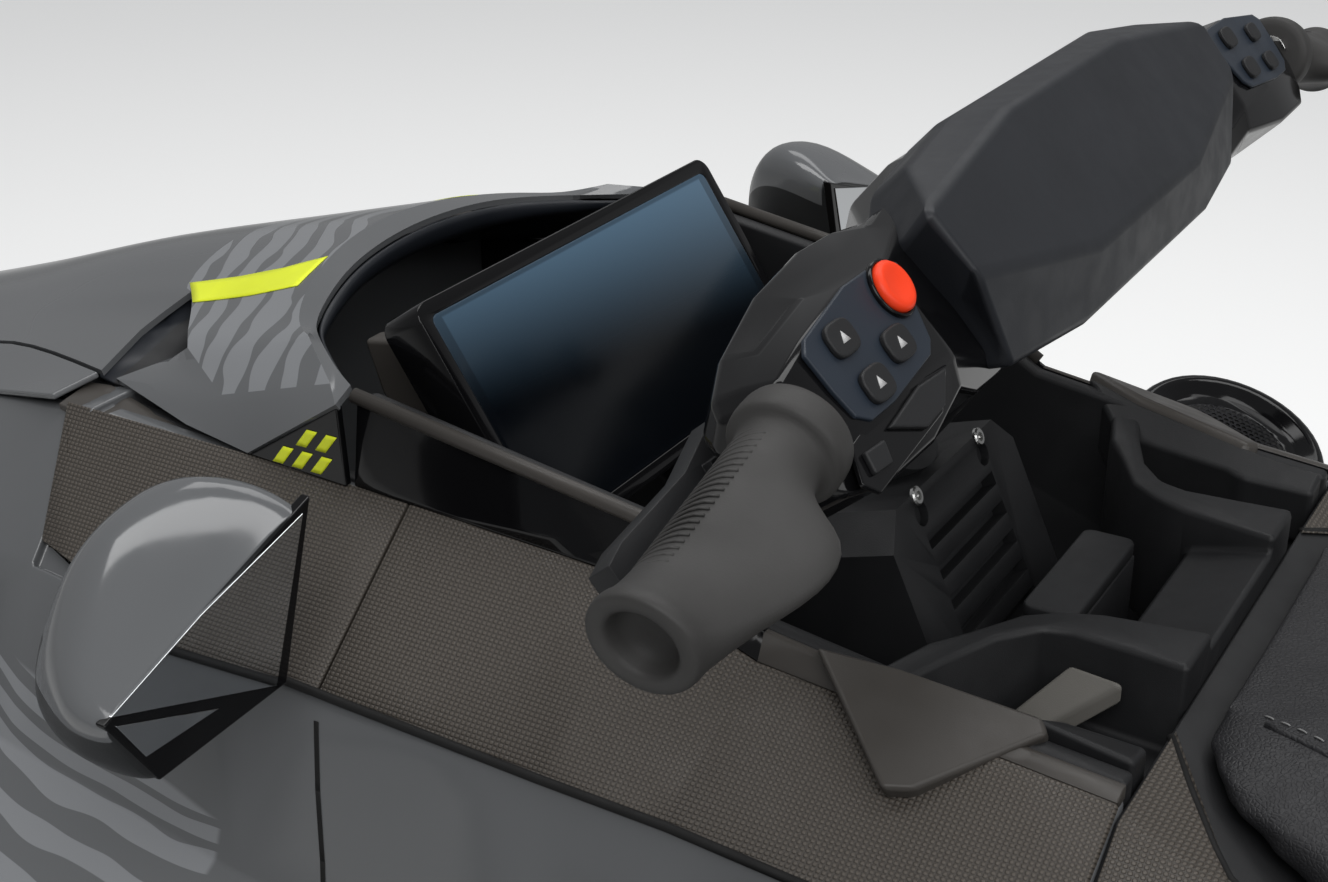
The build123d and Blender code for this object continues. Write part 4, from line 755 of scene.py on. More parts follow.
def lid():
    """The front lid's skin, its seamed outer facets, its scoop and its dark lining."""
    def swept(name, sections, finish, slot=None):
        mesh = rings(sections, mirrored=True, close=False, caps=False, up=UP)
        return softened(put(name, mesh, finish, "hood", slot), 2)

    skin = cage(LID, LID_FACES, LID_SHARP, UP, "R0 L1 V T FL B1 J A0 A1 E1 C1")
    made = put("lid_skin", skin, "body_gloss striped_gloss", "hood", stands_for=("hood",))
    walled(softened(made, 2), size("lid_wall"))
    rounded(made, 1.4, 2, 13)
    skirt = swept("lid_skirt", SKIRT, "body_gloss")
    rounded(walled(skirt, size("lid_wall")), 1.4, 2, 20)
    scoop = cage(SCOOP, SCOOP_FACES, up=UP)
    walled(put("lid_scoop", scoop, "dark_matte lining", "hood"), LINING_WALL)
    walled(swept("lid_lining", LINING, "lining", "dark_matte"), LINING_WALL)


# Rings of the port mirror's housing: x, then inner top, inner foot, outer foot, outer tip as
# y and z, then how far the sides bow out.
MIRROR = [
    (397, (283, 690), (312, 601), (400, 596), (427, 641), 0.5),
    (403, (281, 692), (311, 599), (401, 594), (429, 642), 3),
    (420, (286, 700), (314, 597), (399, 593), (427, 648), 10),
    (442, (298, 704), (320, 596), (392, 592), (410, 652), 16),
    (464, (310, 697), (328, 598), (382, 595), (396, 648), 16),
    (480, (322, 675), (334, 604), (370, 601), (378, 642), 11),
    (487, (334, 653), (340, 612), (358, 610), (362, 632), 5),
]
# Port bezel and glasses, as y and z.
BEZEL = [(281, 689), (309, 600), (397, 596), (425, 640)]
GLASS = [(288, 683), (317, 603), (421, 643), (361, 664)]
LOW_GLASS = [(419, 637.5), (356, 612), (404, 613)]
# Rings of the mirror's foot: z, then its corners as x and y.
FOOT = [
    (604, [(424, 330), (424, 372), (474, 366), (474, 334)]),
    (590, [(422, 312), (422, 380), (478, 374), (478, 316)]),
]


def mirror_rings():
    """Each ring with three bowed points between its corners."""
    made = []
    for x, *corners, bow in MIRROR:
        ring = []
        middle = sum((Vector(c) for c in corners), Vector((0, 0))) / 4
        for i, corner in enumerate(corners):
            a, b = Vector(corner), Vector(corners[(i + 1) % 4])
            out = Vector((b.y - a.y, a.x - b.x)).normalized()
            if out.dot((a + b) / 2 - middle) < 0:
                out = -out
            for share in (0, 0.25, 0.5, 0.75):
                p = a.lerp(b, share) + out * bow * math.sin(math.pi * share)
                ring.append((x, p.x, p.y))
        made.append(ring)
    return made


def mirrors():
    """The mirror housings, bezels, glasses and feet."""
    def plates(outlines, x, deep):
        return prisms([[(x, y, z) for y, z in outline] for outline in outlines], (deep, 0, 0),
                      True)

    mesh = rings(mirror_rings(), mirrored=True)
    lines = mesh.attributes.new("crease_edge", "FLOAT", "EDGE")
    for edge in mesh.edges:
        ends = [mesh.vertices[i].co / MM for i in edge.vertices]
        if max(p.x for p in ends) < 397.5:
            lines.data[edge.index].value = 1.0
    for face in mesh.polygons:
        y, z = abs(face.center.y) / MM, face.center.z / MM
        top = z - (690 - (y - 283) * 0.34)
        face.material_index = 0 if top > -9 and face.center.x > 0.3975 else 1
    made = put("mirror_shells", mesh, "body_gloss moulded_black", stands_for=("mirror_housings",))
    softened(made, 2)
    rounded(made, 1.5, 2, 40)
    rounded(put("mirror_bezels", plates([BEZEL], 396.4, 6), "gloss_black"), 1.2, 2)
    rounded(put("mirror_faces", plates([GLASS, LOW_GLASS], 395.6, 2), "mirror_glass",
                stands_for=("mirror_glasses",)), 0.4, 1)
    foot = rings([[(x, y, z) for x, y in ring] for z, ring in FOOT], True)
    rounded(put("mirror_feet", foot, "dark_matte"), 3, 3)


# Where the steering's own axes start, as x and z in millimetres, and how far they lean.
BAR_AT = (115, 837)
BAR_TILT = 48.6


def bar(x, up, deep):
    """A point by the steering's own axes: across, up its face, and away from the rider."""
    tilt = math.radians(BAR_TILT)
    return (BAR_AT[0] + up * math.cos(tilt) + deep * math.sin(tilt), x,
            BAR_AT[1] + up * math.sin(tilt) - deep * math.cos(tilt))


# Rings of the port half of the cowl and switch pod: across, then up and depth of eight corners.
COWL = [
    (0, (45, 40), (-54, 40), (-60, 50), (-52, 90), (-40, 104), (30, 104), (44, 90), (48, 60)),
    (100, (44, 40), (-54, 40), (-60, 50), (-54, 88), (-42, 100), (30, 98), (42, 84), (47, 55)),
    (143, (36, 34), (-50, 36), (-60, 46), (-54, 80), (-42, 92), (24, 88), (30, 60), (33, 38)),
    (185, (20, 22), (-44, 26), (-58, 36), (-56, 70), (-44, 82), (22, 80), (35, 52), (28, 34)),
    (217, (12, 15), (-36, 16), (-50, 22), (-58, 58), (-46, 74), (24, 72), (36, 50), (24, 33)),
    (262, (13, 14), (-35, 14), (-58, 18), (-60, 56), (-48, 70), (18, 70), (30, 50), (18, 33)),
    (306, (5, 14), (-35, 14), (-58, 18), (-57, 54), (-46, 68), (4, 68), (17, 50), (11, 34)),
    (328, (-2, 18), (-36, 18), (-52, 22), (-50, 50), (-42, 62), (-4, 62), (6, 48), (3, 34)),
    (337, (-8, 24), (-32, 24), (-42, 28), (-40, 44), (-36, 54), (-10, 54), (-2, 44), (-4, 34)),
]
# Corners of the port half of the pad: its raised face, then its sides and back.
PAD_FRONT = {"F0": (0, 36.5, 0), "F1": (74, 36.5, 0), "F2": (194, 19, 0), "F3": (191, -15, 0),
             "F4": (75, -40, 0), "F5": (0, -40, 0)}
PAD_SIDE = {"S0": (0, 49, 20), "S1": (100, 49, 20), "S2": (152, 40, 20), "S3": (197, 13, 18),
            "S4": (176, -23, 20), "S5": (169, -58, 24), "S6": (95, -66, 20), "S7": (0, -66, 20)}
PAD_BACK = {"B0": (0, 46, 46), "B1": (100, 46, 46), "B2": (150, 38, 46), "B3": (190, 12, 46),
            "B4": (172, -22, 46), "B5": (165, -50, 46), "B6": (92, -58, 46), "B7": (0, -58, 46)}
PAD_FACES = ["F0 F1 F4 F5", "F1 F2 F3 F4", "F0 S0 S1 F1", "F1 S1 S2 F2", "F2 S2 S3",
             "F2 S3 S4 F3", "F3 S4 S5", "F3 S5 S6 F4", "F4 S6 S7 F5",
             *(f"S{i} B{i} B{i + 1} S{i + 1}" for i in range(7)),
             "B0 B7 B6 B1", "B1 B6 B5 B2", "B2 B5 B4 B3"]
# Port plates and keys, as across and up the steering's face.
PLATE = [(227, 13), (262, 13), (306, 5), (312, 0), (310, -17), (307, -30), (299, -35),
         (278, -35), (237, -30), (230, -25), (223, -7), (217, 8)]
LOW_PLATE = [(227, -37), (260, -34), (304, -35), (318, -37), (326, -51), (319, -58), (251, -51)]
ROCKER = [(293, -41), (259, -36), (233, -37.5), (250, -49), (270, -51)]
LOW_KEY = [(300, -43), (316, -42), (318, -51), (304, -52)]
# The start button and keys: across, up and radius.
START_AT = (235, 1, 11.5)
FAR_KEYS = [(-244, 2, 9), (-248, -20, 9), (-284, -4, 8), (-282, -24, 8)]
KEY_PLACES = [(287, -3, 10), (255, -18, 10), (284, -25, 10)]
KEY_SHAPE = (0.74, 0.6)  # a key's height for its width, and the power that squares its outline
KEY_MARK = [(-3, -2.2), (3, -2.2), (0, 2.6)]
# How deep the front of each kind of piece lies by the steering's axes.
PLATE_DEEP, LOW_PLATE_DEEP, KEY_DEEP, MARK_DEEP, START_DEEP = 15, 17, 12.6, 9.8, 13


def facewise(outline, deep):
    """An outline across and up the steering's face, as points at a depth."""
    return [bar(x, up, deep) for x, up in outline]


def cowl():
    """The faceted cowl with its switch pods."""
    sections = [[bar(x, up, deep) for up, deep in ring] for x, *ring in COWL]
    made = put("bar_cowl", rings(sections, mirrored=True, caps="end"), "gloss_black",
               "handlebar_cowl", stands_for=("handlebar_cowl", "control_pods"))
    rounded(made, 3, 3, 12)


def pad():
    """The bar pad: a bare raised face on a broader body."""
    corners = {**PAD_FRONT, **PAD_SIDE, **PAD_BACK}
    mesh = cage({key: bar(*place) for key, place in corners.items()}, PAD_FACES)
    made = put("bar_pad", mesh, "pad", "handlebar_pad", "dark_matte", ("handlebar_pad",))
    rounded(made, 4, 4, 12)


def switches():
    """The switch plates, their keys and the start button."""
    on = "control_buttons"
    away = Vector(bar(0, 0, -1)) - Vector(bar(0, 0, 0))
    far_plate = [(-x, up) for x, up in reversed(PLATE)]
    plates = prisms([facewise(PLATE, PLATE_DEEP), facewise(far_plate, PLATE_DEEP)], away * 2.6)
    rounded(put("switch_plates", plates, "plate", on, "dark_matte"), 1, 2)
    low = prisms([facewise(LOW_PLATE, LOW_PLATE_DEEP)], away * 2.5)
    rounded(put("rocker_plates", low, "gloss_black", on), 1, 2)
    high, power = KEY_SHAPE
    both = []
    for x, up, radius in KEY_PLACES + FAR_KEYS:
        key = [(x + radius * math.copysign(abs(math.cos(a)) ** power, math.cos(a)),
                up + radius * high * math.copysign(abs(math.sin(a)) ** power, math.sin(a)))
               for a in (math.pi * (i + 0.5) / 12 for i in range(24))]
        both.append(facewise(key, KEY_DEEP))
    both += [facewise(ROCKER, PLATE_DEEP), facewise(LOW_KEY, PLATE_DEEP)]
    keys = put("switch_keys", prisms(both, away * 3), "dark_matte", on, stands_for=(on,))
    rounded(keys, 1.2, 3)
    marks = [facewise([(x + across, up + rise) for across, rise in KEY_MARK], MARK_DEEP)
             for x, up, radius in KEY_PLACES]
    put("key_marks", prisms(marks, away * 0.35), "key_mark", on, "dark_matte")
    x, up, radius = START_AT
    profile = [(0, radius), (4.2, radius), (5.4, radius - 1.1), (5.9, radius - 3),
               (5.2, radius - 5), (4.9, 0)]
    foot = bar(x, up, START_DEEP)
    put("start_key", turned(foot, away, profile), "start_red", on, stands_for=("start_button",))
    ring = turned(foot, away, [(0, radius + 1.8), (2.2, radius + 1.8), (2.9, radius + 0.9),
                               (2.2, radius), (0, radius)])
    put("start_ring", ring, "gloss_black", on)


# The port grip: along its axis, radius, how far its palm rest reaches aft, and its half thickness.
GRIP_FROM, GRIP_TO = Vector((119, 326, 804)), Vector((116, 446, 775))
GRIP = [
    (0, 14, 14, 14), (0, 22.5, 22.5, 22.5), (0.02, 23.6, 23.6, 23.6), (0.1, 24, 24, 24),
    (0.125, 23.2, 23.2, 23.2), (0.13, 19, 19, 19), (0.16, 17.8, 17.8, 17.8),
    (0.23, 17.6, 18.5, 17.6), (0.3, 17.6, 25, 17.4), (0.36, 17.4, 36, 17.2),
    (0.42, 17.2, 42, 17), (0.53, 17, 43.5, 16.8), (0.64, 17, 40, 16.8),
    (0.76, 17.4, 33, 17.2), (0.86, 18.2, 28, 18.2), (0.92, 19.5, 25, 19.5), (0.945, 21, 23, 21),
    (0.965, 21.8, 22.6, 21.8), (0.992, 21.6, 21.6, 21.4), (1.0, 20.2, 20.2, 20.2),
    (1.0, 15.2, 15.2, 15.2), (0.99, 13.6, 13.6, 13.6), (0.9, 12.6, 12.6, 12.6),
    (0.9, 0.5, 0.5, 0.5),
]


def grips():
    """The bar grips, with palm rests, ribs round the hand's place and flanged ends."""
    axis = (GRIP_TO - GRIP_FROM).normalized()
    aft = Vector((-1, 0, -0.12))
    aft = (aft - axis * aft.dot(axis)).normalized()
    up = axis.cross(aft)
    sections = []
    for share, radius, reach, thick in GRIP:
        middle = GRIP_FROM.lerp(GRIP_TO, share)
        ring = []
        for i in range(36):
            a = 2 * math.pi * i / 36
            c, s = math.cos(a), math.sin(a)
            wing = (reach - radius) * max(c, 0) ** 3
            ring.append(middle + aft * (radius * c + wing) + up * (thick * s))
        sections.append(ring)
    made = put("bar_grips", rings(sections, mirrored=True), "grip_rubber", "grips",
               stands_for=("grips",))
    softened(made, 1)
    ribs = []
    for share in (i / 100 for i in range(20, 86, 3)):
        path = [GRIP_FROM.lerp(GRIP_TO, share + 0.03 * math.cos(2 * a))
                - aft * (17.35 * math.cos(a)) + up * (17.25 * math.sin(a))
                for a in (math.radians(d) for d in range(-84, 85, 12))]
        ribs.append(tube(path, 0.6, 6))
    put("grip_ribs", joined(ribs, True), "grip_rubber", "grips")


# Bevel in millimetres of each moulded node that keeps its CAD shape.
ROUNDING = {
    "hull": 3, "engine": 4, "bumper": 3, "platform": 4, "nose_trim": 3,
    "console": 3, "column_cover": 1.6, "console_arms": 3.5, "glovebox": 1.6,
    "display_case": 2, "speaker_pods": 1.5, "footwell_mats": 1.5, "platform_mat": 1.5,
    "grab_handle": 1, "sponsons": 2.5, "ride_plate": 1.5, "intake_grate": 1, "pump_housing": 0.8,
    "step_brackets": 1, "bow_eye": 0.8, "stern_eyes": 0.8, "glovebox_lid": 1.6,
    "steering_column": 0.8, "handlebar_tube": 0.4, "brake_lever": 1.8, "throttle_lever": 1.8,
    "impeller": 0.5, "nozzle": 0.8, "reverse_gate": 1, "boarding_step": 0.8,
}


def panel_end(place):
    """Draws the side panels' front ends out above and in below."""
    if place.x > 0.6:
        if place.z < 0.62:
            place.y -= math.copysign(9 * MM, place.y)
            place.z += 11 * MM
        else:
            place.x += 20 * MM


def mouldings():
    """The rigid pieces, with their edges rounded."""
    dressed("textured_panels", 1.2, reshape=panel_end)
    for node, width in ROUNDING.items():
        dressed(node, width)
    dressed("display_screen", 0.4)
    dressed("gloss_trims", 1.5, second=[("satin", lambda at, normal: at.x < 200)])
    dressed("bow_deck", 2.5, second=[
        ("fender_gloss", lambda at, normal: abs(normal.y) > 0.3)])
    dressed("deck", 4, second=[
        ("textured", lambda at, normal: 198 < abs(at.y) < 268 and at.z > 405 and at.x > -210),
        ("dark_matte", lambda at, normal: abs(at.y) < 470)])


# A speaker's glossy bowl: how far out of the grille's face, and how far from its middle.
SPEAKER_RIM = [(-1.5, 46.5), (1, 48), (2.4, 51.5), (6, 56.5), (7.6, 60), (6.6, 64), (3, 66.5),
               (-3, 67), (-7, 60), (-1.5, 46.5)]
SPEAKER_AIM = (-0.31, -0.18)  # how far a speaker faces aft and inwards for each unit up
GRILLE_SWELL = 2.2
CELL_HOLE = 0.66  # a hole's width for its cell's
CELL_DEEP = 1.4
# A screw's head: height and radius of each ring, in millimetres.
SCREW = [(0, 5.4), (1.6, 5.4), (2.4, 4.4), (2.4, 2.6), (0.9, 2.4)]
# The screws' distance from the middle, and the ray that finds the cover there, from behind.
SCREW_SIDE = 43
SCREW_FROM = (0.10, 0.640)
SCREW_RAY = Vector((1, 0, -0.02))
# A lozenge: its corners, then the height of each ring and its share of the corners.
LOZENGE = [(5.4, 0), (2.7, 1.9), (-2.7, 1.9), (-5.4, 0), (-2.7, -1.9), (2.7, -1.9)]
LOZENGE_RINGS = [(-0.6, 1), (0.6, 0.92), (1.1, 0.72)]
# Where the mat has to be flat under a lozenge, in metres from its middle, which comes last.
LOZENGE_UNDER = ((-0.006, 0), (0.006, 0), (0, 0.003), (0, -0.003), (0, 0))


def stacked(rows, top=True):
    """A small flat-shaded mesh through rings of points in millimetres, with a top if asked."""
    count = len(rows[0])
    faces = [[level * count + i, level * count + (i + 1) % count,
              (level + 1) * count + (i + 1) % count, (level + 1) * count + i]
             for level in range(len(rows) - 1) for i in range(count)]
    if top:
        faces.append(list(range(len(rows) * count - count, len(rows) * count)))
    mesh = bpy.data.meshes.new("stack")
    mesh.from_pydata([Vector(p) * MM for row in rows for p in row], [], faces)
    return mesh


def grilles():
    """The speakers: grilles of open cells over a dark bowl, with glossy rims."""
    pitch = size("grille_pitch") / MM
    outer = [Vector((math.cos(a), math.sin(a), 0)) * pitch / math.sqrt(3)
             for a in (math.pi / 6 + math.pi * i / 3 for i in range(6))]
    inner = [p * CELL_HOLE for p in outer]
    low = [p - UP * CELL_DEEP for p in inner]
    cell = stacked([outer, inner, low], top=False)
    places, rims = [], []
    for side in (1, -1):
        aim = Vector((SPEAKER_AIM[0], SPEAKER_AIM[1] * side, 1)).normalized()
        turn = facing(aim)
        middle, radius = grille_disc(side, aim)
        across, along = Vector(turn.col[0]), Vector(turn.col[1])
        reach = int(radius / pitch) + 2
        for row in range(-reach, reach + 1):
            for step in range(-reach, reach + 1):
                u = (step + 0.5 * (row % 2)) * pitch
                v = row * pitch * math.sqrt(3) / 2
                if math.hypot(u, v) < radius - pitch * 0.7:
                    swell = GRILLE_SWELL * (1 - (math.hypot(u, v) / radius) ** 2)
                    place = middle + (across * u + along * v + aim * swell) * MM
                    places.append((place, turn))
        rims.append(turned(middle / MM, aim, SPEAKER_RIM, caps=False))
    repeated("grille_cells", cell, places, "dark_steel", "dark_matte")
    put("speaker_rims", joined(rims), "gloss_black")
    dressed("speaker_grilles", 0.8, "dark_gap")


def grille_disc(side, aim):
    """Middle of a grille's outer face, in metres, and its radius in millimetres."""
    points = [v.co for v in NODES["speaker_grilles"].data.vertices if v.co.y * side > 0]
    top = max(p.dot(aim) for p in points)
    face = [p for p in points if p.dot(aim) > top - 0.0005]
    middle = sum((Vector([choose(p[i] for p in face) for i in range(3)])
                  for choose in (min, max)), Vector()) / 2
    radius = max((p - middle).length for p in face) / MM
    return middle + aim * 0.0004, radius


def fasteners():
    """The screws in the column cover."""
    screw = stacked([
        [(r * math.cos(a), r * math.sin(a), z) for a in (2 * math.pi * i / 18 for i in range(18))]
        for z, r in SCREW])
    cover = surface(NODES["column_cover"])
    places = []
    for y in (-SCREW_SIDE, SCREW_SIDE):
        start = Vector((SCREW_FROM[0], y * MM, SCREW_FROM[1]))
        at, normal, *_ = cover.ray_cast(start, SCREW_RAY, 0.3)
        places.append((at, facing(normal)))
    repeated("cover_screws", screw, places, "steel", "steel")


def mat_patterns():
    """Raised lozenges in staggered rows on the mats, where the mat is flat under all of one."""
    pitch = size("mat_pitch")
    piece = stacked([[(x * share, y * share, z) for x, y in LOZENGE]
                     for z, share in LOZENGE_RINGS])
    for node in ("footwell_mats", "platform_mat"):
        tree = surface(NODES[node])
        low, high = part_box(node)
        places = []
        row = 0
        x = low[0] + pitch * 0.6
        while x < high[0]:
            y = low[1] + pitch * (0.5 + 0.5 * (row % 2))
            while y < high[1]:
                found = [tree.ray_cast(Vector((x + dx, y + dy, high[2] + 0.01)), -UP, 0.4)
                         for dx, dy in LOZENGE_UNDER]
                place, normal, *_ = found[-1]
                if all(f[0] is not None and f[1].z > 0.9 for f in found):
                    places.append((place, facing(normal)))
                y += pitch
            x += pitch * 0.5
            row += 1
        repeated(node + "_lozenges", piece, places, "mat_foam", "mat_foam")


# Each seat: its node, where channels cross it, and how far its padding may swell in millimetres.
SEATS = [
    ("seat_front", (-150, -330, -480), 9),
    ("seat_rear", (-700, -860, -1020), 9),
]
# Where the seam runs along each seat's shoulder, in millimetres.
SEAMS = [
    ("seat_front", [(-20, 104), (-70, 122), (-200, 134), (-400, 147), (-545, 151)]),
    ("seat_rear", [(-590, 150), (-700, 146), (-1000, 144), (-1150, 118)]),
]
# The foam's simulation, in metres.
VOXEL = 0.009
FOAM_IN = 0.004  # how far the foam starts inside its solid
FOAM_FOOT = 0.05  # height over which it comes to that
FOAM_HELD = 0.03  # height of the foot that doesn't swell
FOAM_PRESSURE = 4
CLOTH_FRAMES = 20
# Channels pressed across the seats, in millimetres: how deep and wide they are, how far below
# the seat's top they reach, and how far aft they sweep for each millimetre from the middle.
CHANNEL_DEEP = 5
CHANNEL_WIDE = 5
CHANNEL_REACH = 46
CHANNEL_SWEEP = 0.16
TOP_STEP = 0.02  # metres along a seat that share one measure of its top
PIPING = 2.1  # its radius in millimetres
STITCH_IN = 6  # millimetres from the piping to its stitches


def swollen(node, most):
    """A seat's foam: a slightly smaller copy of its solid, blown up against its skin."""
    scene = bpy.context.scene
    made = linked(node + "_foam", closed_mesh(merged(node)))
    remesh = made.modifiers.new("remesh", "REMESH")
    remesh.mode = "VOXEL"
    remesh.voxel_size = VOXEL
    smooth = made.modifiers.new("smooth", "SMOOTH")
    smooth.iterations = 6
    smooth.factor = 0.5
    mesh = baked(made)
    made.modifiers.clear()
    made.data = mesh
    low = min(v.co.z for v in mesh.vertices)
    for vert in mesh.vertices:
        share = min(1.0, max(0.0, (vert.co.z - low) / FOAM_FOOT))
        vert.co -= vert.normal * FOAM_IN * share
    held = made.vertex_groups.new(name="held")
    held.add([v.index for v in mesh.vertices if v.co.z < low + FOAM_HELD], 1.0, "REPLACE")
    start = [v.co.copy() for v in mesh.vertices]
    cloth = made.modifiers.new("cloth", "CLOTH")
    cloth.settings.use_pressure = True
    cloth.settings.uniform_pressure_force = FOAM_PRESSURE
    cloth.settings.effector_weights.gravity = 0
    cloth.settings.vertex_group_mass = "held"
    cloth.settings.quality = 4
    cloth.point_cache.frame_start = 1
    cloth.point_cache.frame_end = CLOTH_FRAMES
    for number in range(1, CLOTH_FRAMES + 1):
        scene.frame_set(number)
    blown = baked(made)
    scene.frame_set(1)
    made.modifiers.clear()
    for vert, first in zip(blown.vertices, start):
        move = vert.co - first
        if move.length > most * MM:
            move *= most * MM / move.length
        vert.co = first + move
    made.data = blown
    return made


def seats():
    """The two seats: padded skins with pressed channels."""
    for node, channels, most in SEATS:
        made = softened(swollen(node, most), 1)
        mesh = baked(made)
        bpy.data.objects.remove(made)
        top = {}
        for vert in mesh.vertices:
            key = round(vert.co.x / TOP_STEP)
            top[key] = max(top.get(key, -1), vert.co.z)
        for vert in mesh.vertices:
            x, y = vert.co.x / MM, abs(vert.co.y) / MM
            under = (top[round(vert.co.x / TOP_STEP)] - vert.co.z) / MM
            near = max(0.0, 1 - under / CHANNEL_REACH)
            for line in channels:
                away = (x - line - CHANNEL_SWEEP * y) / CHANNEL_WIDE
                vert.co.z -= CHANNEL_DEEP * MM * math.exp(-away * away) * min(1.0, near * 3)
        for face in mesh.polygons:
            face.use_smooth = True
        mesh.materials.clear()
        skin = put(node + "_skin", mesh, "seat_vinyl", stands_for=(node,))


def seat_seams():
    """Piping along the seats' shoulders, with a row of stitches beside it."""
    long = size("stitch") / MM
    thread = tube([(-long / 2, 0, 0), (-long / 4, 0, 0.5), (long / 4, 0, 0.5), (long / 2, 0, 0)],
                  0.45, 6)
    for node, line in SEAMS:
        skin = surface(bpy.data.objects[node + "_skin"])
        places = []
        for side, hand in HANDS:
            path = []
            for (x, y), (u, v) in zip(line, line[1:]):
                steps = max(2, int(abs(u - x) / 8))
                for i in range(steps):
                    share = i / steps
                    at = Vector((x + (u - x) * share, side * (y + (v - y) * share), 1000)) * MM
                    found, normal, *_ = skin.ray_cast(at, -UP)
                    if found is not None:
                        path.append((found, normal))
            made = tube([(place - normal * 0.6 * MM) / MM for place, normal in path], PIPING, 10)
            put(f"{node}_piping_{hand}", made, "seat_vinyl")
            for (a, _), (b, _) in zip(path, path[1:]):
                inwards = Vector((0, -side, 0)) * STITCH_IN * MM
                at = skin.ray_cast(a + inwards + UP * 0.03, -UP)
                if at[0] is not None:
                    places.append((at[0] + at[1] * 0.0002, facing(at[1], b - a)))
        repeated(node + "_stitches", thread, places, "thread", "seat_vinyl")


# Port pieces round the cockpit, in millimetres.
TRIM_FRONT = [(443, 203, 694), (509, 200, 650), (443, 200, 647)]
LEDGE = [(498, 197, 645), (563, 188, 646.5), (640, 168, 651), (652, 174, 653), (646, 205, 652),
         (563, 207, 644), (492, 206, 642)]
KNEE_PLATE = [(172, 193, 629), (134, 180, 621), (66, 171, 611), (60, 180, 609),
              (103, 233, 595), (115, 240, 596)]
RIM_LINE = [(204, 189, 629), (270, 189, 669), (442, 189.5, 696)]
POCKET_RIM = [(172, 189, 627), (134, 179, 619), (66, 171, 609), (21, 172, 602), (21, 151, 598),
              (62, 150, 599), (73, 155, 600), (141, 159, 606)]
POCKET_PAD = [(78, 98, 598), (48, 102, 598), (88, 124, 566), (108, 126, 566)]
KNEE_PANEL = [(18, 256, 560), (18, 124, 600), (1, 148, 592), (-19, 175, 580), (-31, 188, 570),
              (-90, 196, 540), (-195, 198, 500), (-195, 228, 440), (-90, 242, 500)]
PANEL_FOOT = [(22, 277, 551), (200, 284, 572), (270, 283, 573), (442, 279, 577), (545, 270, 579.5)]
BRACKET = [(484, 128, 697), (449, 128, 703), (428, 128, 640), (446, 128, 634), (474, 128, 668)]
FENDER_SEAM = [(403, 284, 562), (397, 293, 528), (389, 303, 494), (384, 310, 466)]
SEAM_HALF = 1.4  # half a fender seam's width
KNEE_SEAM = [(19, 121, 587.5), (1, 147.5, 580), (-19, 174, 571), (-30, 186, 566.5),
             (-60, 190.5, 550)]
# Name, outline, shift to its far side, finish, slot and bevel of each mirrored moulding.
COCKPIT_PRISMS = [
    ("trim_fronts", TRIM_FRONT, (0, -5, 0), "gloss_black", "gloss_black", 1.2),
    ("panel_ledges", LEDGE, (0, -1, -5), "satin", "dark_matte", 1.5),
    ("knee_plates", KNEE_PLATE, (0, -6, -9), "satin", "dark_matte", 3),
    ("pocket_rims", POCKET_RIM, (0, 0, -34), "dark_matte", "dark_matte", 3.5),
    ("pocket_pads", POCKET_PAD, (0, 0, -12), "pocket_pad", "dark_matte", 3),
    ("display_brackets", BRACKET, (0, -16, 0), "satin", "dark_matte", 3),
]


def other_hand(points, side):
    """Port points, or their mirror image where side is -1."""
    return [(x, y * side, z) for x, y, z in points]


def both_tubes(name, path, radius, finish, count=10):
    """A tube and its mirror image, as one piece."""
    put(name, joined([tube(path, radius, count)], True), finish, slot="dark_matte")


def panel_seams():
    """Black joints under the side panels, and between the lengths of the fender."""
    both_tubes("panel_seams", PANEL_FOOT, 2.4, "dark_gap")
    both_tubes("knee_seams", KNEE_SEAM, 2.2, "dark_gap")
    deck = surface(bpy.data.objects["bow_deck_skin"])
    for side, hand in HANDS:
        quads = []
        for (x, y, z), (u, v, w) in zip(FENDER_SEAM, FENDER_SEAM[1:]):
            quads.append([(x - SEAM_HALF, y * side, z), (x + SEAM_HALF, y * side, z),
                          (u + SEAM_HALF, v * side, w), (u - SEAM_HALF, v * side, w)])
        laid("fender_seam_" + hand, quads, deck, (0, 0.96 * side, 0.28), "dark_gap", "dark_matte")


def cockpit():
    """Trim ends, ledges, knee plates and panels, pocket rims and pads."""
    for name, outline, shift, finish, slot, width in COCKPIT_PRISMS:
        rounded(put(name, prisms([outline], shift, True), finish, slot=slot), width, 3, 25)
    both_tubes("rim_caps", RIM_LINE, 4.2, "satin", 16)
    deck = surface(bpy.data.objects["deck_skin"])
    for side, hand in HANDS:
        laid("knee_panel_" + hand, [other_hand(KNEE_PANEL, side)], deck, (0, 0.5 * side, 0.85),
             "textured", "textured", cuts=16, lift=1.6)


# Port marks, in millimetres: the bare patch on the lid's flank, and the dashes on the trim.
PATCH = [(661, 75, 680), (620, 75, 691), (586, 72, 701), (557, 64, 709), (555, 81, 706),
         (554, 97, 703), (590, 100, 693), (636, 100, 680)]
DASH = [(0, 0), (-7, 0), (-16, 11), (-9, 11)]
# Each row of dashes: where it starts, how high it stands, and how many it has.
DASH_ROWS = [(492, 652, 3), (474, 666, 2)]
DASH_STEP = 13
DASH_SIDE = 210


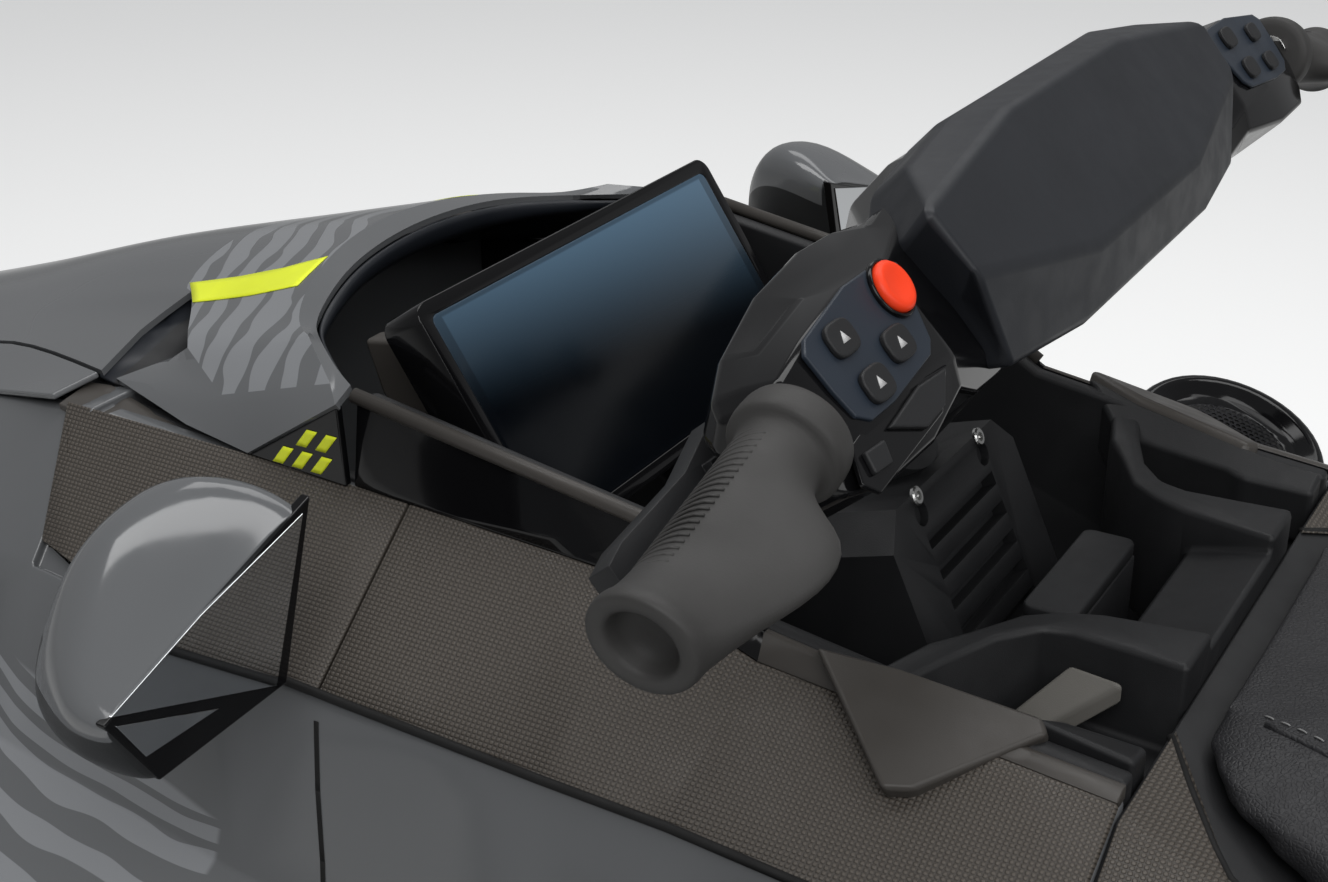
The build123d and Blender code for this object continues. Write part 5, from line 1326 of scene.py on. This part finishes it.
def marks():
    """Bare patches where the craft carries its graphics, and plain dashes on the trims."""
    lid_skin = surface(bpy.data.objects["lid_skin"])
    trim = surface(bpy.data.objects["trim_fronts"], bpy.data.objects["gloss_trims_skin"])
    for side, hand in HANDS:
        laid("flank_patch_" + hand, [other_hand(PATCH, side)], lid_skin,
             (0.24, 0.25 * side, 0.94), "accent", "body_gloss", "hood")
        dashes = []
        for start, low, count in DASH_ROWS:
            for i in range(count):
                dashes.append([(start + x - DASH_STEP * i, DASH_SIDE * side, low + z)
                               for x, z in DASH])
        laid("trim_dashes_" + hand, dashes, trim, (0, side, 0.12), "accent", "gloss_black", cuts=3)


# The camera, solved from the photograph: its place, its turn from straight aft, how far it
# looks down, and its focal length in the photograph's pixels.
CAMERA_AT = Vector((-0.175, 0.930, 1.113))
CAMERA_TURN = 30.2
CAMERA_DOWN = 25.0
FOCAL_PIXELS = 2000.0
PHOTO_WIDE = 1328
FLOOR_REACH = 90
FLOOR_GLOW = 0.32
WORLD_LIGHT = 0.26
WORLD_SEEN = 0.74  # added where the camera sees the world itself
# Name, place, what it aims at, size and power of each lamp.
LAMPS = [
    ("key", (-1.2, 2.2, 3.4), (0.3, 0, 0.5), (3.4, 2.2), 76),
    ("overhead", (0.6, -0.4, 3.2), (0.4, 0, 0.4), (4.4, 0.9), 44),
    ("far", (1.2, -2.4, 3.2), (0.4, 0, 0.5), (3.0, 1.0), 16),
    ("rear", (-3.4, 0.4, 2.2), (-0.4, 0, 0.4), (2.2, 1.6), 24),
]


def camera():
    """The photograph's camera."""
    turn, down = math.radians(CAMERA_TURN), math.radians(CAMERA_DOWN)
    right = Vector((-math.cos(turn), -math.sin(turn), 0))
    ahead = Vector((math.sin(turn) * math.cos(down), -math.cos(turn) * math.cos(down),
                    -math.sin(down)))
    data = bpy.data.cameras.new("camera")
    data.sensor_width = 36
    data.lens = FOCAL_PIXELS / PHOTO_WIDE * data.sensor_width
    data.clip_start = 0.02
    made = linked("camera", data)
    made.matrix_world = Matrix.Translation(CAMERA_AT) @ Matrix(
        (right, right.cross(ahead), -ahead)).transposed().to_4x4()
    bpy.context.scene.camera = made


def floor():
    """The pale floor at the waterline."""
    f = Finish("stage_floor")
    f.link(f.mix(f.noise(0.6), (0.78, 0.78, 0.77, 1), (0.8, 0.8, 0.79, 1)), "Base Color")
    f.set(Roughness=0.75, Emission_Color=(0.98, 0.99, 1.0, 1))
    seen = f.node("ShaderNodeLightPath").outputs["Is Camera Ray"]
    f.link(f.math("MULTIPLY", seen, FLOOR_GLOW), "Emission Strength")
    bm = bmesh.new()
    bm.faces.new([bm.verts.new((x * FLOOR_REACH, y * FLOOR_REACH, 0))
                  for x, y in ((-1, -1), (1, -1), (1, 1), (-1, 1))])
    mesh = closed_mesh(bm, UP)
    mesh.materials.append(f.material)
    linked("floor", mesh)


def surroundings():
    """Pale light from all round, and soft lamps."""
    world = bpy.data.worlds.new("world")
    bpy.context.scene.world = world
    world.use_nodes = True
    tree = world.node_tree
    back = tree.nodes["Background"]
    path = tree.nodes.new("ShaderNodeLightPath")
    seen = tree.nodes.new("ShaderNodeMath")
    seen.operation = "MULTIPLY_ADD"
    tree.links.new(path.outputs["Is Camera Ray"], seen.inputs[0])
    seen.inputs[1].default_value = WORLD_SEEN
    seen.inputs[2].default_value = WORLD_LIGHT
    tree.links.new(seen.outputs[0], back.inputs["Strength"])
    back.inputs["Color"].default_value = (0.97, 0.98, 1.0, 1)
    for name, place, aim, reach, power in LAMPS:
        data = bpy.data.lights.new(name, "AREA")
        data.shape = "RECTANGLE"
        data.size, data.size_y = reach
        data.energy = power
        made = linked(name, data)
        made.location = place
        made.rotation_euler = (Vector(aim) - Vector(place)).to_track_quat("-Z", "Y").to_euler()


def stage():
    """The camera, the floor and the light."""
    bpy.context.scene.view_settings.view_transform = "Standard"
    camera()
    floor()
    surroundings()


class CRAFT_OT_mouldings(bpy.types.Operator):
    """Round and finish the rigid pieces"""

    bl_idname = "craft.mouldings"
    bl_label = "Mouldings"

    def execute(self, context):
        mouldings()
        return {"FINISHED"}


class CRAFT_OT_lid(bpy.types.Operator):
    """Build the front lid's skin, facets, scoop and lining"""

    bl_idname = "craft.lid"
    bl_label = "Front lid"

    def execute(self, context):
        lid()
        return {"FINISHED"}


class CRAFT_OT_mirrors(bpy.types.Operator):
    """Build the mirrors"""

    bl_idname = "craft.mirrors"
    bl_label = "Mirrors"

    def execute(self, context):
        mirrors()
        return {"FINISHED"}


class CRAFT_OT_bars(bpy.types.Operator):
    """Build the bars' cowl, pad, switches and grips"""

    bl_idname = "craft.bars"
    bl_label = "Bars"

    def execute(self, context):
        cowl()
        pad()
        switches()
        grips()
        return {"FINISHED"}


class CRAFT_OT_speakers(bpy.types.Operator):
    """Build the speakers' grilles and rims"""

    bl_idname = "craft.speakers"
    bl_label = "Speakers"

    def execute(self, context):
        grilles()
        return {"FINISHED"}


class CRAFT_OT_patterns(bpy.types.Operator):
    """Add what repeats on the column cover and the mats"""

    bl_idname = "craft.patterns"
    bl_label = "Screws and mats"

    def execute(self, context):
        fasteners()
        mat_patterns()
        return {"FINISHED"}


class CRAFT_OT_cockpit(bpy.types.Operator):
    """Build the cockpit's small mouldings and its seams"""

    bl_idname = "craft.cockpit"
    bl_label = "Cockpit"

    def execute(self, context):
        cockpit()
        panel_seams()
        return {"FINISHED"}


class CRAFT_OT_seats(bpy.types.Operator):
    """Build the padded seats with their piping and stitches"""

    bl_idname = "craft.seats"
    bl_label = "Seats"

    def execute(self, context):
        seats()
        seat_seams()
        return {"FINISHED"}


class CRAFT_OT_marks(bpy.types.Operator):
    """Lay the bare patches and dashes"""

    bl_idname = "craft.marks"
    bl_label = "Marks"

    def execute(self, context):
        marks()
        return {"FINISHED"}


class CRAFT_OT_stage(bpy.types.Operator):
    """Add the camera, the floor and the light"""

    bl_idname = "craft.stage"
    bl_label = "Stage"

    def execute(self, context):
        stage()
        return {"FINISHED"}


# In the order in which they run.
STEPS = (
    CRAFT_OT_mouldings, CRAFT_OT_lid, CRAFT_OT_mirrors, CRAFT_OT_bars, CRAFT_OT_speakers,
    CRAFT_OT_patterns, CRAFT_OT_cockpit, CRAFT_OT_seats, CRAFT_OT_marks, CRAFT_OT_stage,
)


class CRAFT_PT_panel(bpy.types.Panel):
    """Lists what builds the watercraft"""

    bl_label = "Watercraft"
    bl_idname = "CRAFT_PT_panel"
    bl_space_type = "VIEW_3D"
    bl_region_type = "UI"
    bl_category = "Watercraft"

    def draw(self, context):
        for name in ("craft_colours", "craft_sizes"):
            group = getattr(context.scene, name)
            for key in group.__annotations__:
                self.layout.prop(group, key)
        for item in STEPS:
            self.layout.operator(item.bl_idname)


CLASSES = (CraftColours, CraftSizes, *STEPS, CRAFT_PT_panel)


def register():
    """Registers the settings, the operators and the panel."""
    for cls in CLASSES:
        bpy.utils.register_class(cls)
    bpy.types.Scene.craft_colours = PointerProperty(type=CraftColours)
    bpy.types.Scene.craft_sizes = PointerProperty(type=CraftSizes)


def unregister():
    """Takes back what register does."""
    del bpy.types.Scene.craft_colours
    del bpy.types.Scene.craft_sizes
    for cls in reversed(CLASSES):
        bpy.utils.unregister_class(cls)


def main():
    """Builds the watercraft."""
    register()
    finishes()
    for item in STEPS:
        getattr(bpy.ops.craft, item.bl_idname.split(".")[1])()


if __name__ == "__main__":
    main()
